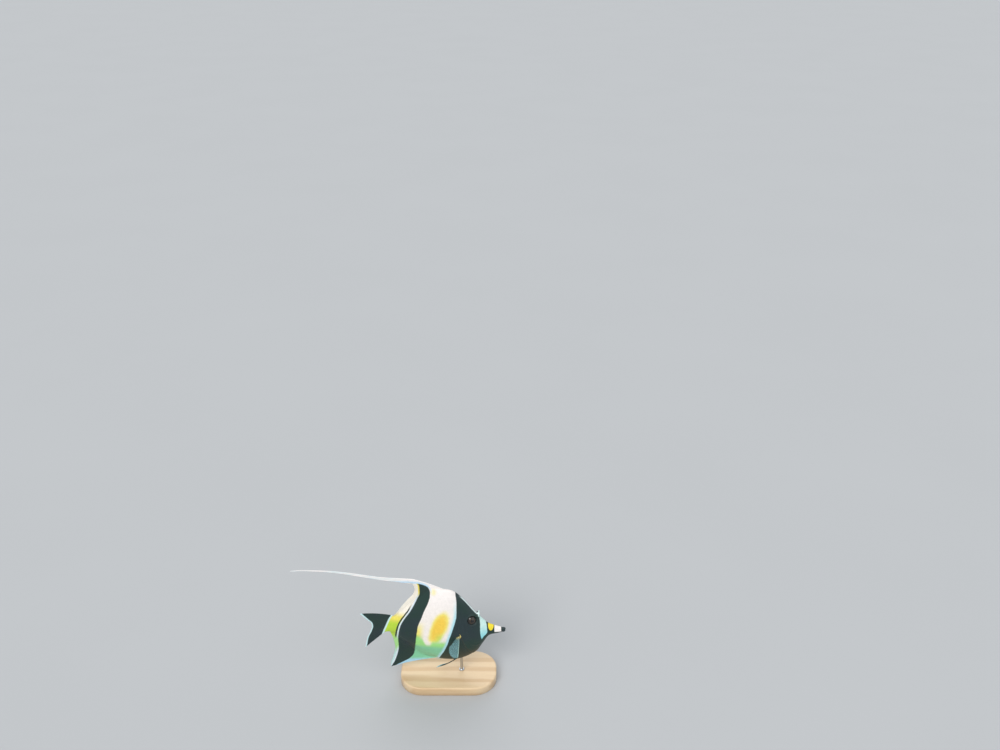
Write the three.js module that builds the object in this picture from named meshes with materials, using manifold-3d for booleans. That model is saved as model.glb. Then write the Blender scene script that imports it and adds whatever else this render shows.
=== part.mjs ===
// A moorish idol (Zanclus cornutus), life size, gliding level with its head towards +X and its
// dorsal streamer trailing behind, on a plain stand of one base and one rod. Millimetres, +Z up.
// The origin is the middle of the base's underside.
//
// The fish is drawn in its own frame: x runs from the tail root (0) to the lips (1), z is height
// above the line from the tail root to the snout, and both are shares of the standard length.
import * as THREE from "three";
import { mergeVertices } from "three/addons/utils/BufferGeometryUtils.js";
import Module from "manifold-3d";

const wasm = await Module();
wasm.setup();

// Driving dimensions: millimetres, angles in degrees, x and z as shares of the standard length
const standardLength = 150;
const gap = 0.3;
const rootSink = 3;

// The stand: the base's middle and the rod are given by the x they stand under
const base = { x: 0.51, length: 124, width: 70, thickness: 12, edge: 2, corner: 30 };
const rod = { x: 0.622, radius: 2, inBase: 6, inBelly: 4 };
const axisHeight = 84;

// Body: the back and the belly at paired stations, and half the thickness between them
const stations = [
  { at: "lips", back: [0.998, -0.022], belly: [0.992, -0.054], half: 0.011 },
  { at: "snout", back: [0.945, -0.006], belly: [0.94, -0.07], half: 0.02 },
  { at: "snout root", back: [0.858, 0.03], belly: [0.862, -0.094], half: 0.029 },
  { at: "face", back: [0.8, 0.087], belly: [0.81, -0.17], half: 0.05 },
  { at: "eye", back: [0.727, 0.176], belly: [0.755, -0.256], half: 0.066 },
  { at: "nape", back: [0.63, 0.306], belly: [0.65, -0.33], half: 0.075 },
  { at: "dorsal root", back: [0.53, 0.378], belly: [0.54, -0.356], half: 0.077 },
  { at: "middle", back: [0.39, 0.358], belly: [0.4, -0.334], half: 0.069 },
  { at: "rear", back: [0.23, 0.246], belly: [0.235, -0.23], half: 0.048 },
  { at: "stalk", back: [0.088, 0.122], belly: [0.05, -0.066], half: 0.026 },
  { at: "tail root", back: [0.04, 0.108], belly: [-0.03, -0.053], half: 0.009 },
];
const bellyFullness = 0.16;
const trunkRows = 56;
const trunkColumns = 32;
const headRows = 44;
const headColumns = 44;

// The tail is carried a little to the fish's right, starting at bendFrom
const bendFrom = 0.3;
const bendSpan = 0.5;
const bendDepth = 4.5;

// Where the body is parted: the rear edge of the head with its gill cover, and the tail stalk
const gillLine = [
  [0.6, 0.45],
  [0.612, 0.25],
  [0.612, 0.1],
  [0.606, 0.035],
  [0.622, -0.045],
  [0.65, -0.13],
  [0.69, -0.22],
  [0.735, -0.3],
  [0.75, -0.42],
];
const gillFlap = { lift: 0.7, reach: 14, top: 0.11, bottom: -0.33 };
const stalkFront = 0.135;

// Head details
const eye = { x: 0.72, z: 0.096, radius: 6, depth: 4, sunk: 2.5 };
const lips = { x: 0.987, swell: 0.5, reach: 1.6, forward: 0.7, narrowing: 0.62 };
const mouth = { x: 0.966, z: -0.043, slit: 0.35, width: 8 };
const nostrils = [
  { x: 0.776, z: 0.08, radius: 0.75 },
  { x: 0.787, z: 0.067, radius: 0.6 },
];
const horn = { x: 0.765, z: 0.118, radius: 2.5, length: 5.6, sunk: 2.9, forward: 0.9, upward: 0.45 };

// Fins: thickness on a ray and on the web between two rays, at the root and at the tip
const medianThickness = { rayRoot: 1.3, rayTip: 0.7, webRoot: 0.8, webTip: 0.5 };
const caudalThickness = { rayRoot: 1.8, rayTip: 0.7, webRoot: 1.3, webTip: 0.5 };
const pairedThickness = { rayRoot: 1.1, rayTip: 0.65, webRoot: 0.7, webTip: 0.5 };
const streamerCut = 0.225;

const mm = (share) => share * standardLength;
const at = (x, z, y = 0) => new THREE.Vector3(mm(x), y, mm(z));

function bend(x) {
  const reach = Math.max(0, mm(bendFrom) - x) / mm(bendSpan);
  return -bendDepth * reach * reach;
}

// A smooth line through points given as [x, z] or [x, z, y], y in millimetres
function line(points) {
  const knots = points.map((p) => at(...p));
  const curve = new THREE.CatmullRomCurve3(knots, false, "catmullrom");
  return (t) => curve.getPoint(t);
}

const backLine = line(stations.map((s) => s.back));
const bellyLine = line(stations.map((s) => s.belly));
const halfLine = line(stations.map((s) => [s.half, 0]));

// The body's surface: t runs from lips to tail root, the angle round a section from back to belly
function bodyPoint(t, angle) {
  const back = backLine(t);
  const belly = bellyLine(t);
  const point = back.clone().add(belly).multiplyScalar(0.5);
  point.addScaledVector(back.sub(belly), 0.5 * Math.cos(angle));
  point.y = halfLine(t).x * Math.sin(angle) * (1 - bellyFullness * Math.cos(angle));
  point.y += bend(point.x);
  return point;
}

// Half the body's thickness at a place seen from the side; t is found by halving
function flank(x, z) {
  let low = 0;
  let high = 1;
  for (let step = 0; step < 30; step++) {
    const t = (low + high) / 2;
    const back = backLine(t);
    const belly = bellyLine(t);
    const turn = (back.x - belly.x) * (z - belly.z) - (back.z - belly.z) * (x - belly.x);
    if (turn > 0) low = t;
    else high = t;
  }
  const belly = bellyLine(low);
  const arm = backLine(low).sub(belly).multiplyScalar(0.5);
  const middle = belly.add(arm);
  const along = ((x - middle.x) * arm.x + (z - middle.z) * arm.z) / arm.lengthSq();
  return bodyPoint(low, Math.acos(THREE.MathUtils.clamp(along, -1, 1))).y;
}

// The way the flank faces there, on the side given by the sign of y
function flankNormal(x, z, side) {
  const slopeX = (flank(x + 1, z) - flank(x - 1, z)) / 2;
  const slopeZ = (flank(x, z + 1) - flank(x, z - 1)) / 2;
  return new THREE.Vector3(-slopeX, side, -slopeZ).normalize();
}

// A closed surface over rings of points, with a fan over each end
function ringSurface(rings) {
  const count = rings[0].length;
  const points = rings.flat();
  const faces = [];
  for (let r = 0; r + 1 < rings.length; r++)
    for (let i = 0; i < count; i++) {
      const a = r * count + i;
      const b = r * count + ((i + 1) % count);
      faces.push(a, b, a + count, b, b + count, a + count);
    }
  for (const ring of [0, rings.length - 1]) {
    const hub = points.length;
    const middle = new THREE.Vector3();
    rings[ring].forEach((p) => middle.addScaledVector(p, 1 / count));
    points.push(middle);
    for (let i = 0; i < count; i++) {
      const a = ring * count + i;
      const b = ring * count + ((i + 1) % count);
      faces.push(...(ring ? [a, b, hub] : [b, a, hub]));
    }
  }
  return new THREE.BufferGeometry().setFromPoints(points).setIndex(faces);
}

// The rounded front of the lips: their ring drawn in round its middle and moved forward
function muzzleRing(ring) {
  const middle = new THREE.Vector3();
  ring.forEach((p) => middle.addScaledVector(p, 1 / ring.length));
  const forward = new THREE.Vector3(lips.forward, 0, 0);
  return ring.map((p) => p.clone().lerp(middle, 1 - lips.narrowing).add(forward));
}

// The body from the lips to a share of its stations, grown by a distance that depends on the place
function bodySurface({ rows, columns, until, growth }) {
  const rings = [];
  for (let r = 0; r <= rows; r++) {
    const ring = [];
    for (let i = 0; i < columns; i++)
      ring.push(bodyPoint((until * r) / rows, (2 * Math.PI * i) / columns));
    rings.push(ring);
  }
  rings.unshift(muzzleRing(rings[0]));
  const surface = ringSurface(rings);
  surface.computeVertexNormals();
  const place = surface.attributes.position;
  for (let i = 0; i < place.count; i++) {
    const point = new THREE.Vector3().fromBufferAttribute(place, i);
    const outward = new THREE.Vector3().fromBufferAttribute(surface.attributes.normal, i);
    point.addScaledVector(outward, growth(point));
    place.setXYZ(i, point.x, point.y, point.z);
  }
  return surface;
}

// A geometry as a closed body
function solid(geometry) {
  const bare = geometry.clone();
  for (const name of Object.keys(bare.attributes))
    if (name !== "position") bare.deleteAttribute(name);
  const merged = mergeVertices(bare, 1e-4);
  const triVerts = new Uint32Array(merged.index.array);
  const vertProperties = merged.attributes.position.array;
  return new wasm.Manifold(new wasm.Mesh({ numProp: 3, vertProperties, triVerts }));
}

function largest(body) {
  return body.decompose().reduce((a, b) => (b.volume() > a.volume() ? b : a));
}

// A closed body as a named mesh
function named(name, body, material) {
  const made = largest(body).getMesh();
  const places = new Float32Array(made.numVert * 3);
  for (let i = 0; i < made.numVert; i++)
    places.set(made.vertProperties.subarray(i * made.numProp, i * made.numProp + 3), i * 3);
  const geometry = new THREE.BufferGeometry()
    .setAttribute("position", new THREE.BufferAttribute(places, 3))
    .setIndex(new THREE.BufferAttribute(made.triVerts, 1));
  const mesh = new THREE.Mesh(geometry, material);
  mesh.name = name;
  return mesh;
}

// Everything in front of the gill line, the line moved back by a distance
function frontRegion(shift) {
  const edge = line(gillLine);
  const outline = [];
  for (let i = 0; i <= 40; i++) {
    const p = edge(i / 40);
    outline.push(new THREE.Vector2(p.x - shift, p.z));
  }
  outline.push(new THREE.Vector2(mm(1.2), mm(-0.42)), new THREE.Vector2(mm(1.2), mm(0.45)));
  const options = { depth: mm(0.4), bevelEnabled: false };
  const slab = new THREE.ExtrudeGeometry(new THREE.Shape(outline), options);
  return solid(slab.rotateX(Math.PI / 2).translate(0, mm(0.2), 0));
}

// Everything behind a place on the x axis
function rearRegion(x) {
  return solid(new THREE.BoxGeometry(mm(1), mm(0.4), mm(1.2)).translate(x - mm(0.5), 0, 0));
}

// The gill cover rises towards its rear edge, and the lips swell round the mouth
function headGrowth(point) {
  const edge = line(gillLine);
  let nearest = Infinity;
  for (let i = 0; i <= 60; i++) {
    const p = edge(i / 60);
    nearest = Math.min(nearest, Math.hypot(point.x - p.x, point.z - p.z));
  }
  const smooth = THREE.MathUtils.smoothstep;
  const top = smooth(mm(gillFlap.top) - point.z, 0, 12);
  const bottom = smooth(point.z - mm(gillFlap.bottom), 0, 14);
  const flap = gillFlap.lift * top * bottom * (1 - smooth(nearest, 0, gillFlap.reach));
  const fromLips = (point.x - mm(lips.x)) / lips.reach;
  return flap + lips.swell * Math.exp(-fromLips * fromLips);
}

// A fin is a sheet of rays. place(u, v) is the middle of the sheet, u from the leading ray to the
// last and v from root to tip. Every ray is a ridge on both faces, and the web is thinner.
function finSheet({ place, rays, steps, thickness }) {
  const columns = 2 * rays - 1;
  const rows = steps + 1;
  const other = columns * rows;
  const mix = THREE.MathUtils.lerp;
  const points = [];
  const faces = [];
  for (const side of [0.5, -0.5])
    for (let c = 0; c < columns; c++)
      for (let r = 0; r < rows; r++) {
        const u = c / (columns - 1);
        const v = r / steps;
        const alongU = place(Math.min(u + 0.01, 1), v).sub(place(Math.max(u - 0.01, 0), v));
        const alongV = place(u, Math.min(v + 0.01, 1)).sub(place(u, Math.max(v - 0.01, 0)));
        const facing = alongU.cross(alongV).normalize();
        const onRay = mix(thickness.rayRoot, thickness.rayTip, v);
        const onWeb = mix(thickness.webRoot, thickness.webTip, v);
        points.push(place(u, v).addScaledVector(facing, side * (c % 2 ? onWeb : onRay)));
      }
  const quad = (a, b, c, d) => faces.push(a, b, c, a, c, d);
  for (let c = 0; c + 1 < columns; c++) {
    const root = c * rows;
    const tip = root + steps;
    for (let a = root; a < tip; a++) {
      quad(a, a + rows, a + rows + 1, a + 1);
      quad(other + a, other + a + 1, other + a + rows + 1, other + a + rows);
    }
    quad(other + root, other + root + rows, root + rows, root);
    quad(tip, tip + rows, other + tip + rows, other + tip);
  }
  for (let r = 0; r < steps; r++) {
    const last = (columns - 1) * rows + r;
    quad(other + r + 1, other + r, r, r + 1);
    quad(other + last, other + last + 1, last + 1, last);
  }
  return solid(new THREE.BufferGeometry().setFromPoints(points).setIndex(faces));
}

// A bowed line from root to tip; the bow is how far its middle control point leaves the chord
function bowed(root, tip, bow, v) {
  const pull = root.clone().add(tip).multiplyScalar(0.5).add(bow);
  const point = root.clone().multiplyScalar((1 - v) * (1 - v));
  return point.addScaledVector(pull, 2 * v * (1 - v)).addScaledVector(tip, v * v);
}

// A fin in the middle plane, rooted along the back or the belly from one share of it to another
function medianFin({ from, to, along, across, edge, bow, rays, steps }) {
  const tips = line(edge);
  const place = (u, v) => {
    const t = THREE.MathUtils.lerp(from, to, u);
    const root = along(t);
    root.addScaledVector(across(t).sub(root).normalize(), rootSink);
    const point = bowed(root, tips(u), at(...bow).multiplyScalar(1 - u), v);
    point.y += bend(point.x);
    return point;
  };
  return finSheet({ place, rays, steps, thickness: medianThickness });
}

// A fin between a line of roots and a line of tips, both from the leading ray to the last
function fanFin({ roots, edge, bow, rays, steps, thickness, side = 1, bent = false }) {
  const rootLine = line(roots);
  const tipLine = line(edge);
  const place = (u, v) => {
    const point = bowed(rootLine(u), tipLine(u), at(...bow), v);
    point.y *= side;
    if (bent) point.y += bend(point.x);
    return point;
  };
  return finSheet({ place, rays, steps, thickness });
}

const plain = () => 0;
const trunkShape = { rows: trunkRows, columns: trunkColumns, until: 1 };
const headShape = { rows: headRows, columns: headColumns, until: 0.66 };
const body = solid(bodySurface({ ...trunkShape, growth: plain }));
const bodyClearance = solid(bodySurface({ ...trunkShape, growth: () => gap }));
const grownHead = solid(bodySurface({ ...headShape, growth: headGrowth }));
const headClearance = solid(
  bodySurface({ ...headShape, growth: (point) => gap + headGrowth(point) }),
).intersect(frontRegion(gap));

// Eyes: flattened balls set in sockets, facing the way the flank faces
function eyeBall(side, growth) {
  const facing = flankNormal(mm(eye.x), mm(eye.z), side);
  const ball = new THREE.SphereGeometry(1, 24, 12).rotateX(Math.PI / 2);
  ball.scale(eye.radius + growth, eye.radius + growth, eye.depth + growth);
  ball.lookAt(facing);
  const centre = at(eye.x, eye.z, side * flank(mm(eye.x), mm(eye.z)));
  centre.addScaledVector(facing, -eye.sunk);
  return solid(ball.translate(centre.x, centre.y, centre.z));
}

// The bony horn in front of each eye, a cone leaning forward
function hornCone(side) {
  const facing = flankNormal(mm(horn.x), mm(horn.z), side);
  const lean = new THREE.Vector3(horn.forward, side, horn.upward).normalize();
  const cone = new THREE.ConeGeometry(horn.radius, horn.length, 14, 1).translate(0, horn.length / 2, 0);
  cone.applyQuaternion(new THREE.Quaternion().setFromUnitVectors(new THREE.Vector3(0, 1, 0), lean));
  const foot = at(horn.x, horn.z, side * flank(mm(horn.x), mm(horn.z)));
  foot.addScaledVector(facing, -horn.sunk);
  return solid(cone.translate(foot.x, foot.y, foot.z));
}

function nostril({ x, z, radius }, side) {
  const pit = new THREE.SphereGeometry(radius, 12, 8);
  return solid(pit.translate(mm(x), side * flank(mm(x), mm(z)), mm(z)));
}

function mouthSlit() {
  const length = mm(1.02 - mouth.x);
  const slot = new THREE.BoxGeometry(length, mouth.width, mouth.slit);
  return solid(slot.translate(mm(mouth.x) + length / 2, 0, mm(mouth.z)));
}

function makeHead() {
  let head = grownHead.intersect(frontRegion(0)).subtract(mouthSlit());
  for (const side of [1, -1]) {
    head = head.add(hornCone(side)).subtract(eyeBall(side, gap));
    for (const pit of nostrils) head = head.subtract(nostril(pit, side));
  }
  return head;
}

// Dorsal fin: cut off square at its upper rear corner, where the streamer carries on
const cornerRegion = rearRegion(mm(streamerCut)).trimByPlane([0, 0, 1], mm(0.444));

function makeDorsal() {
  const fin = medianFin({
    from: 0.585,
    to: 0.95,
    along: backLine,
    across: bellyLine,
    edge: [
      [0.185, 0.497],
      [0.195, 0.466],
      [0.232, 0.436],
      [0.243, 0.385],
      [0.228, 0.332],
      [0.186, 0.282],
      [0.14, 0.225],
      [0.108, 0.18],
      [0.083, 0.143],
      [0.06, 0.112],
    ],
    bow: [-0.03, 0.044],
    rays: 30,
    steps: 6,
  });
  return fin.subtract(bodyClearance).subtract(cornerRegion);
}

// Streamer: a tapering strip that starts at the dorsal fin's corner and trails behind the tail
function makeStreamer() {
  const path = line([
    [0.24, 0.4685, -0.1],
    [0.1, 0.4835, -0.6],
    [-0.05, 0.505, -1.4],
    [-0.32, 0.553, -1],
    [-0.49, 0.565, 0.6],
    [-0.66, 0.568, 1.4],
    [-0.77, 0.566, 0.8],
  ]);
  const rows = 48;
  const rings = [];
  for (let r = 0; r <= rows; r++) {
    const v = r / rows;
    const centre = path(v);
    const ahead = path(Math.max(v - 0.01, 0)).sub(path(Math.min(v + 0.01, 1))).normalize();
    const upward = new THREE.Vector3(0, 1, 0).cross(ahead).negate().normalize();
    const half = 0.45 + 2.65 * (1 - v) ** 2.2;
    const thick = 0.3 + 0.3 * (1 - v);
    const ring = [];
    for (const [high, wide] of [[1, 0.4], [0, 1], [-1, 0.4], [-1, -0.4], [0, -1], [1, -0.4]]) {
      const point = centre.clone().addScaledVector(upward, high * half);
      point.y += wide * thick;
      ring.push(point);
    }
    rings.push(ring);
  }
  return solid(ringSurface(rings)).intersect(rearRegion(mm(streamerCut) - gap));
}

function makeAnal() {
  const fin = medianFin({
    from: 0.64,
    to: 0.93,
    along: bellyLine,
    across: backLine,
    edge: [
      [0.008, -0.436],
      [0.014, -0.385],
      [0.032, -0.333],
      [0.047, -0.277],
      [0.057, -0.222],
      [0.053, -0.17],
      [0.042, -0.118],
      [0.022, -0.057],
    ],
    bow: [0, 0.02],
    rays: 26,
    steps: 6,
  });
  return fin.subtract(bodyClearance);
}

function makeCaudal() {
  const fin = fanFin({
    roots: [
      [0.052, 0.124],
      [0.022, 0.034],
      [-0.01, -0.042],
    ],
    edge: [
      [-0.222, 0.155],
      [-0.17, 0.096],
      [-0.136, 0.054],
      [-0.129, 0.008],
      [-0.145, -0.045],
      [-0.175, -0.108],
      [-0.195, -0.205],
    ],
    bow: [0, 0],
    rays: 17,
    steps: 6,
    thickness: caudalThickness,
    bent: true,
  });
  return fin.subtract(bodyClearance);
}

// Pectoral fins: spread downwards, outwards and a little back, as on the fish gliding past
function makePectoral(side) {
  const y = flank(mm(0.604), mm(-0.04)) - rootSink;
  const fin = fanFin({
    roots: [
      [0.61, -0.022, y],
      [0.603, -0.04, y],
      [0.593, -0.058, y],
    ],
    edge: [
      [0.602, -0.196, y + 17],
      [0.567, -0.202, y + 17],
      [0.54, -0.184, y + 15.5],
      [0.526, -0.153, y + 13.5],
      [0.529, -0.117, y + 11],
    ],
    bow: [0.008, 0.01, 3.5],
    rays: 14,
    steps: 5,
    thickness: pairedThickness,
    side,
  });
  return fin.subtract(bodyClearance).subtract(headClearance);
}

function makePelvic(side) {
  const fin = fanFin({
    roots: [
      [0.594, -0.333, 3],
      [0.583, -0.333, 3],
      [0.57, -0.333, 3],
    ],
    edge: [
      [0.398, -0.412, 8.2],
      [0.43, -0.396, 6.4],
      [0.475, -0.383, 5.4],
    ],
    bow: [0.004, -0.024, 1.2],
    rays: 6,
    steps: 7,
    thickness: pairedThickness,
    side,
  });
  return fin.subtract(bodyClearance).subtract(headClearance);
}

// Stand, in the fish's frame: a rounded base, and a rod into the belly
function makeBase() {
  const half = { x: base.length / 2, y: base.width / 2 };
  const rings = [];
  const floor = -axisHeight;
  const top = floor + base.thickness;
  const edges = [
    [floor, base.edge * 0.5],
    [floor + base.edge * 0.5, 0],
    [top - base.edge, 0],
    [top - base.edge * 0.3, base.edge * 0.3],
    [top, base.edge],
  ];
  for (const [z, inset] of edges) {
    const ring = [];
    for (let corner = 0; corner < 4; corner++)
      for (let step = 0; step <= 8; step++) {
        const angle = (Math.PI / 2) * (corner + step / 8);
        const out = base.corner - inset;
        const signX = corner === 0 || corner === 3 ? 1 : -1;
        const signY = corner < 2 ? 1 : -1;
        const x = signX * (half.x - base.corner) + out * Math.cos(angle);
        const y = signY * (half.y - base.corner) + out * Math.sin(angle);
        ring.push(new THREE.Vector3(mm(base.x) + x, y, z));
      }
    rings.push(ring);
  }
  return solid(ringSurface(rings)).subtract(rodCylinder(gap));
}

function rodCylinder(growth) {
  const bottom = -axisHeight + base.thickness - rod.inBase - growth;
  const top = bellyLine(0.53).z + rod.inBelly + growth;
  const radius = rod.radius + growth;
  const cylinder = new THREE.CylinderGeometry(radius, radius, top - bottom, 28);
  cylinder.rotateX(Math.PI / 2).translate(mm(rod.x), 0, (top + bottom) / 2);
  return solid(cylinder);
}

const skin = new THREE.MeshStandardMaterial({ color: 0xe8e2d0, roughness: 0.5, metalness: 0 });
const fin = new THREE.MeshStandardMaterial({ color: 0x20241f, roughness: 0.45, metalness: 0 });
const web = new THREE.MeshStandardMaterial({ color: 0xb9c6cc, roughness: 0.4, metalness: 0 });
const white = new THREE.MeshStandardMaterial({ color: 0xf2f2ea, roughness: 0.5, metalness: 0 });
const eyeBlack = new THREE.MeshStandardMaterial({ color: 0x0a0806, roughness: 0.1, metalness: 0 });
const wood = new THREE.MeshStandardMaterial({ color: 0xc9b594, roughness: 0.5, metalness: 0 });
const steel = new THREE.MeshStandardMaterial({ color: 0xb4b6b8, roughness: 0.3, metalness: 1 });

const rodHole = rodCylinder(gap);
const trunk = body
  .subtract(frontRegion(gap))
  .subtract(rearRegion(mm(stalkFront) + gap))
  .subtract(rodHole);

const fish = new THREE.Group();
fish.position.set(-mm(base.x), 0, axisHeight);
fish.add(named("head", makeHead().subtract(rodHole), skin));
fish.add(named("trunk", trunk, skin));
fish.add(named("tail_stalk", body.intersect(rearRegion(mm(stalkFront))), skin));
fish.add(named("eye_left", eyeBall(1, 0), eyeBlack));
fish.add(named("eye_right", eyeBall(-1, 0), eyeBlack));
fish.add(named("dorsal_fin", makeDorsal(), fin));
fish.add(named("dorsal_streamer", makeStreamer(), white));
fish.add(named("anal_fin", makeAnal(), fin));
fish.add(named("caudal_fin", makeCaudal(), fin));
fish.add(named("pectoral_fin_left", makePectoral(1), web));
fish.add(named("pectoral_fin_right", makePectoral(-1), web));
fish.add(named("pelvic_fin_left", makePelvic(1), fin));
fish.add(named("pelvic_fin_right", makePelvic(-1), fin));
fish.add(named("stand_base", makeBase(), wood));
fish.add(named("stand_rod", rodCylinder(0), steel));

const part = new THREE.Group();
part.add(fish);
export default part;
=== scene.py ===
# A moorish idol (Zanclus cornutus), life size, gliding over a plain display stand. Metres, +Z up.
# The fish faces +X. Its own frame is in shares of its length: x from the tail root (0) to the
# lips (1), and z above the line from the tail root to the snout.
import math

import bpy
import numpy as np
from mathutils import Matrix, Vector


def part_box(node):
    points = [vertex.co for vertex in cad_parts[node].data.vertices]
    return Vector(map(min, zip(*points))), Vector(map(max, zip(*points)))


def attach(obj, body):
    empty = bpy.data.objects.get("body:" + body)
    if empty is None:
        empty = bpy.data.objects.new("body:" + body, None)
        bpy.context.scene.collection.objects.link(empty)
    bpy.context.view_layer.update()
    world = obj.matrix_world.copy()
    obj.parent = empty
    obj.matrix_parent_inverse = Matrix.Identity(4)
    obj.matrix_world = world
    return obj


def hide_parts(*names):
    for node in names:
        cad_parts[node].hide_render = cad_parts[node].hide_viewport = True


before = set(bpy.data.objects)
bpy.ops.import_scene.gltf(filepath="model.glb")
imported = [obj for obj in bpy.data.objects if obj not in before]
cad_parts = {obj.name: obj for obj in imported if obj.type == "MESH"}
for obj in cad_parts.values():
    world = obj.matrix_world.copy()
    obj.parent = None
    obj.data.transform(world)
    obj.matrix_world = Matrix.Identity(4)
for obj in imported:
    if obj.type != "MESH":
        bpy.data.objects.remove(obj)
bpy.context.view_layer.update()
print("frame loaded")

# Camera: above the floor, looking down on the fish from its right side
view = {
    "place": (0.0666, -0.9709, 0.9121),
    "pitchDown": 26.0,
    "lens": 35.0,
    "sensor": 36.0,
    "nearest": 0.01,
    "farthest": 60.0,
}
cameraData = bpy.data.cameras.new("photoCamera")
cameraData.lens = view["lens"]
cameraData.sensor_width = view["sensor"]
cameraData.clip_start = view["nearest"]
cameraData.clip_end = view["farthest"]
camera = bpy.data.objects.new("photoCamera", cameraData)
camera.location = view["place"]
camera.rotation_euler = (math.radians(90 - view["pitchDown"]), 0, 0)
bpy.context.scene.collection.objects.link(camera)
bpy.context.scene.camera = camera
bpy.context.scene.view_settings.view_transform = "Standard"

# Light: three broad suns, so that it falls off nowhere: a key from the upper left, a fill from the
# right and a soft one from behind. "way" points from the fish to the lamp
studio = {
    "lamps": {
        "key": {"way": (-0.45, -0.75, 0.75), "spread": 34, "strength": 1.55, "tint": (1.0, 0.98, 0.95)},
        "fill": {"way": (0.9, -0.7, 0.5), "spread": 60, "strength": 0.55, "tint": (0.94, 0.97, 1.0)},
        "rim": {"way": (-0.1, 0.9, 0.8), "spread": 50, "strength": 0.7, "tint": (1.0, 1.0, 1.0)},
    },
    "skyTint": (0.94, 0.97, 1.0),
    "skyStrength": 0.6,
}


def addLamp(name, way, spread, strength, tint):
    data = bpy.data.lights.new(name, "SUN")
    data.angle = math.radians(spread)
    data.energy = strength
    data.color = tint
    lamp = bpy.data.objects.new(name, data)
    lamp.location = way
    flat = math.hypot(way[0], way[1])
    lamp.rotation_euler = (math.atan2(flat, way[2]), 0, math.atan2(way[1], way[0]) + math.pi / 2)
    bpy.context.scene.collection.objects.link(lamp)


for lampName, lampValues in studio["lamps"].items():
    addLamp(lampName, **lampValues)

sky = bpy.data.worlds.new("studioSky")
sky.use_nodes = True
sky.node_tree.nodes["Background"].inputs["Color"].default_value = (*studio["skyTint"], 1)
sky.node_tree.nodes["Background"].inputs["Strength"].default_value = studio["skyStrength"]
bpy.context.scene.world = sky
print("camera and lights ready")


# Small tools for shapes
def through(points, t):
    # Catmull-Rom line: it passes each point in the direction from the one before to the one after
    knots = np.asarray(points, float)
    knots = np.vstack([2 * knots[0] - knots[1], knots, 2 * knots[-1] - knots[-2]])
    spans = len(knots) - 3
    place = np.clip(t, 0, 1) * spans
    i = np.minimum(place.astype(int), spans - 1)
    w = (place - i)[..., None]
    a, b, c, d = knots[i], knots[i + 1], knots[i + 2], knots[i + 3]
    linear = 0.5 * (c - a)
    square = a - 2.5 * b + 2 * c - 0.5 * d
    cube = 1.5 * (b - c) + 0.5 * (d - a)
    return b + w * linear + w**2 * square + w**3 * cube


def ease(x, low, high):
    # 0 below low, 1 above high, an S between them
    s = np.clip((x - low) / (high - low), 0, 1)
    return s * s * (3 - 2 * s)


def bell(distance, reach):
    # 1 at no distance, then falling as e to the minus square of the distance over the reach
    return np.exp(-((distance / reach) ** 2))


def blend(first, last, share):
    return first + (last - first) * share


def length(vectors):
    return np.sqrt((vectors**2).sum(-1))


def unit(vectors):
    return vectors / np.maximum(length(vectors), 1e-12)[..., None]


def stack(x, y, z):
    return np.stack(np.broadcast_arrays(x, y, z), -1)


def addMesh(name, points, faces, smooth=True):
    mesh = bpy.data.meshes.new(name)
    mesh.from_pydata(points.reshape(-1, 3).tolist(), [], faces)
    if smooth:
        mesh.polygons.foreach_set("use_smooth", np.ones(len(mesh.polygons), bool))
    mesh.update()
    piece = bpy.data.objects.new(name, mesh)
    bpy.context.scene.collection.objects.link(piece)
    return piece


def addMap(piece, name, uv):
    # uv holds one pair for each face corner
    layer = piece.data.uv_layers.new(name=name)
    layer.data.foreach_set("uv", np.asarray(uv, np.float32).ravel())


def addValue(piece, name, values):
    layer = piece.data.attributes.new(name, "FLOAT", "POINT")
    layer.data.foreach_set("value", np.asarray(values, np.float32).ravel())


def cornerIndex(piece):
    index = np.empty(len(piece.data.loops), np.int32)
    piece.data.loops.foreach_get("vertex_index", index)
    return index


def gridFaces(rows, columns, wrapped):
    # quads between neighbouring rows and columns; wrapped joins the last column to the first
    r = np.arange(rows - 1)[:, None] * columns
    c = np.arange(columns if wrapped else columns - 1)[None, :]
    n = (c + 1) % columns
    corners = np.broadcast_arrays(r + c, r + n, r + columns + n, r + columns + c)
    return np.stack(corners, -1).reshape(-1, 4)


def outwards(points, *faceSets):
    # every face turned round where the closed form they make is inside out: its volume is below 0
    points = points.reshape(-1, 3) - points.reshape(-1, 3).mean(0)
    volume = 0
    for faces in faceSets:
        corners = points[faces]
        for last in range(2, faces.shape[1]):
            volume += (np.cross(corners[:, 0], corners[:, last - 1]) * corners[:, last]).sum()
    turned = [faces[:, ::-1] if volume < 0 else faces for faces in faceSets]
    return [face for faces in turned for face in faces.tolist()]


def addTube(name, grid):
    # rings of points, one row each, closed round the ring and with a pole at either end
    rows, columns, _ = grid.shape
    points = np.vstack([grid.reshape(-1, 3), grid[0].mean(0), grid[-1].mean(0)])
    ring = np.arange(columns)
    following = (ring + 1) % columns
    last = (rows - 1) * columns
    first = np.stack([following, ring, np.full(columns, rows * columns)], -1)
    final = np.stack([last + ring, last + following, np.full(columns, rows * columns + 1)], -1)
    return addMesh(name, points, outwards(points, gridFaces(rows, columns, True), first, final))


def settle(piece, material, slot, *nodes):
    piece.data.materials.append(material)
    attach(piece, "root")
    if nodes:
        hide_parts(*nodes)


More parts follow.
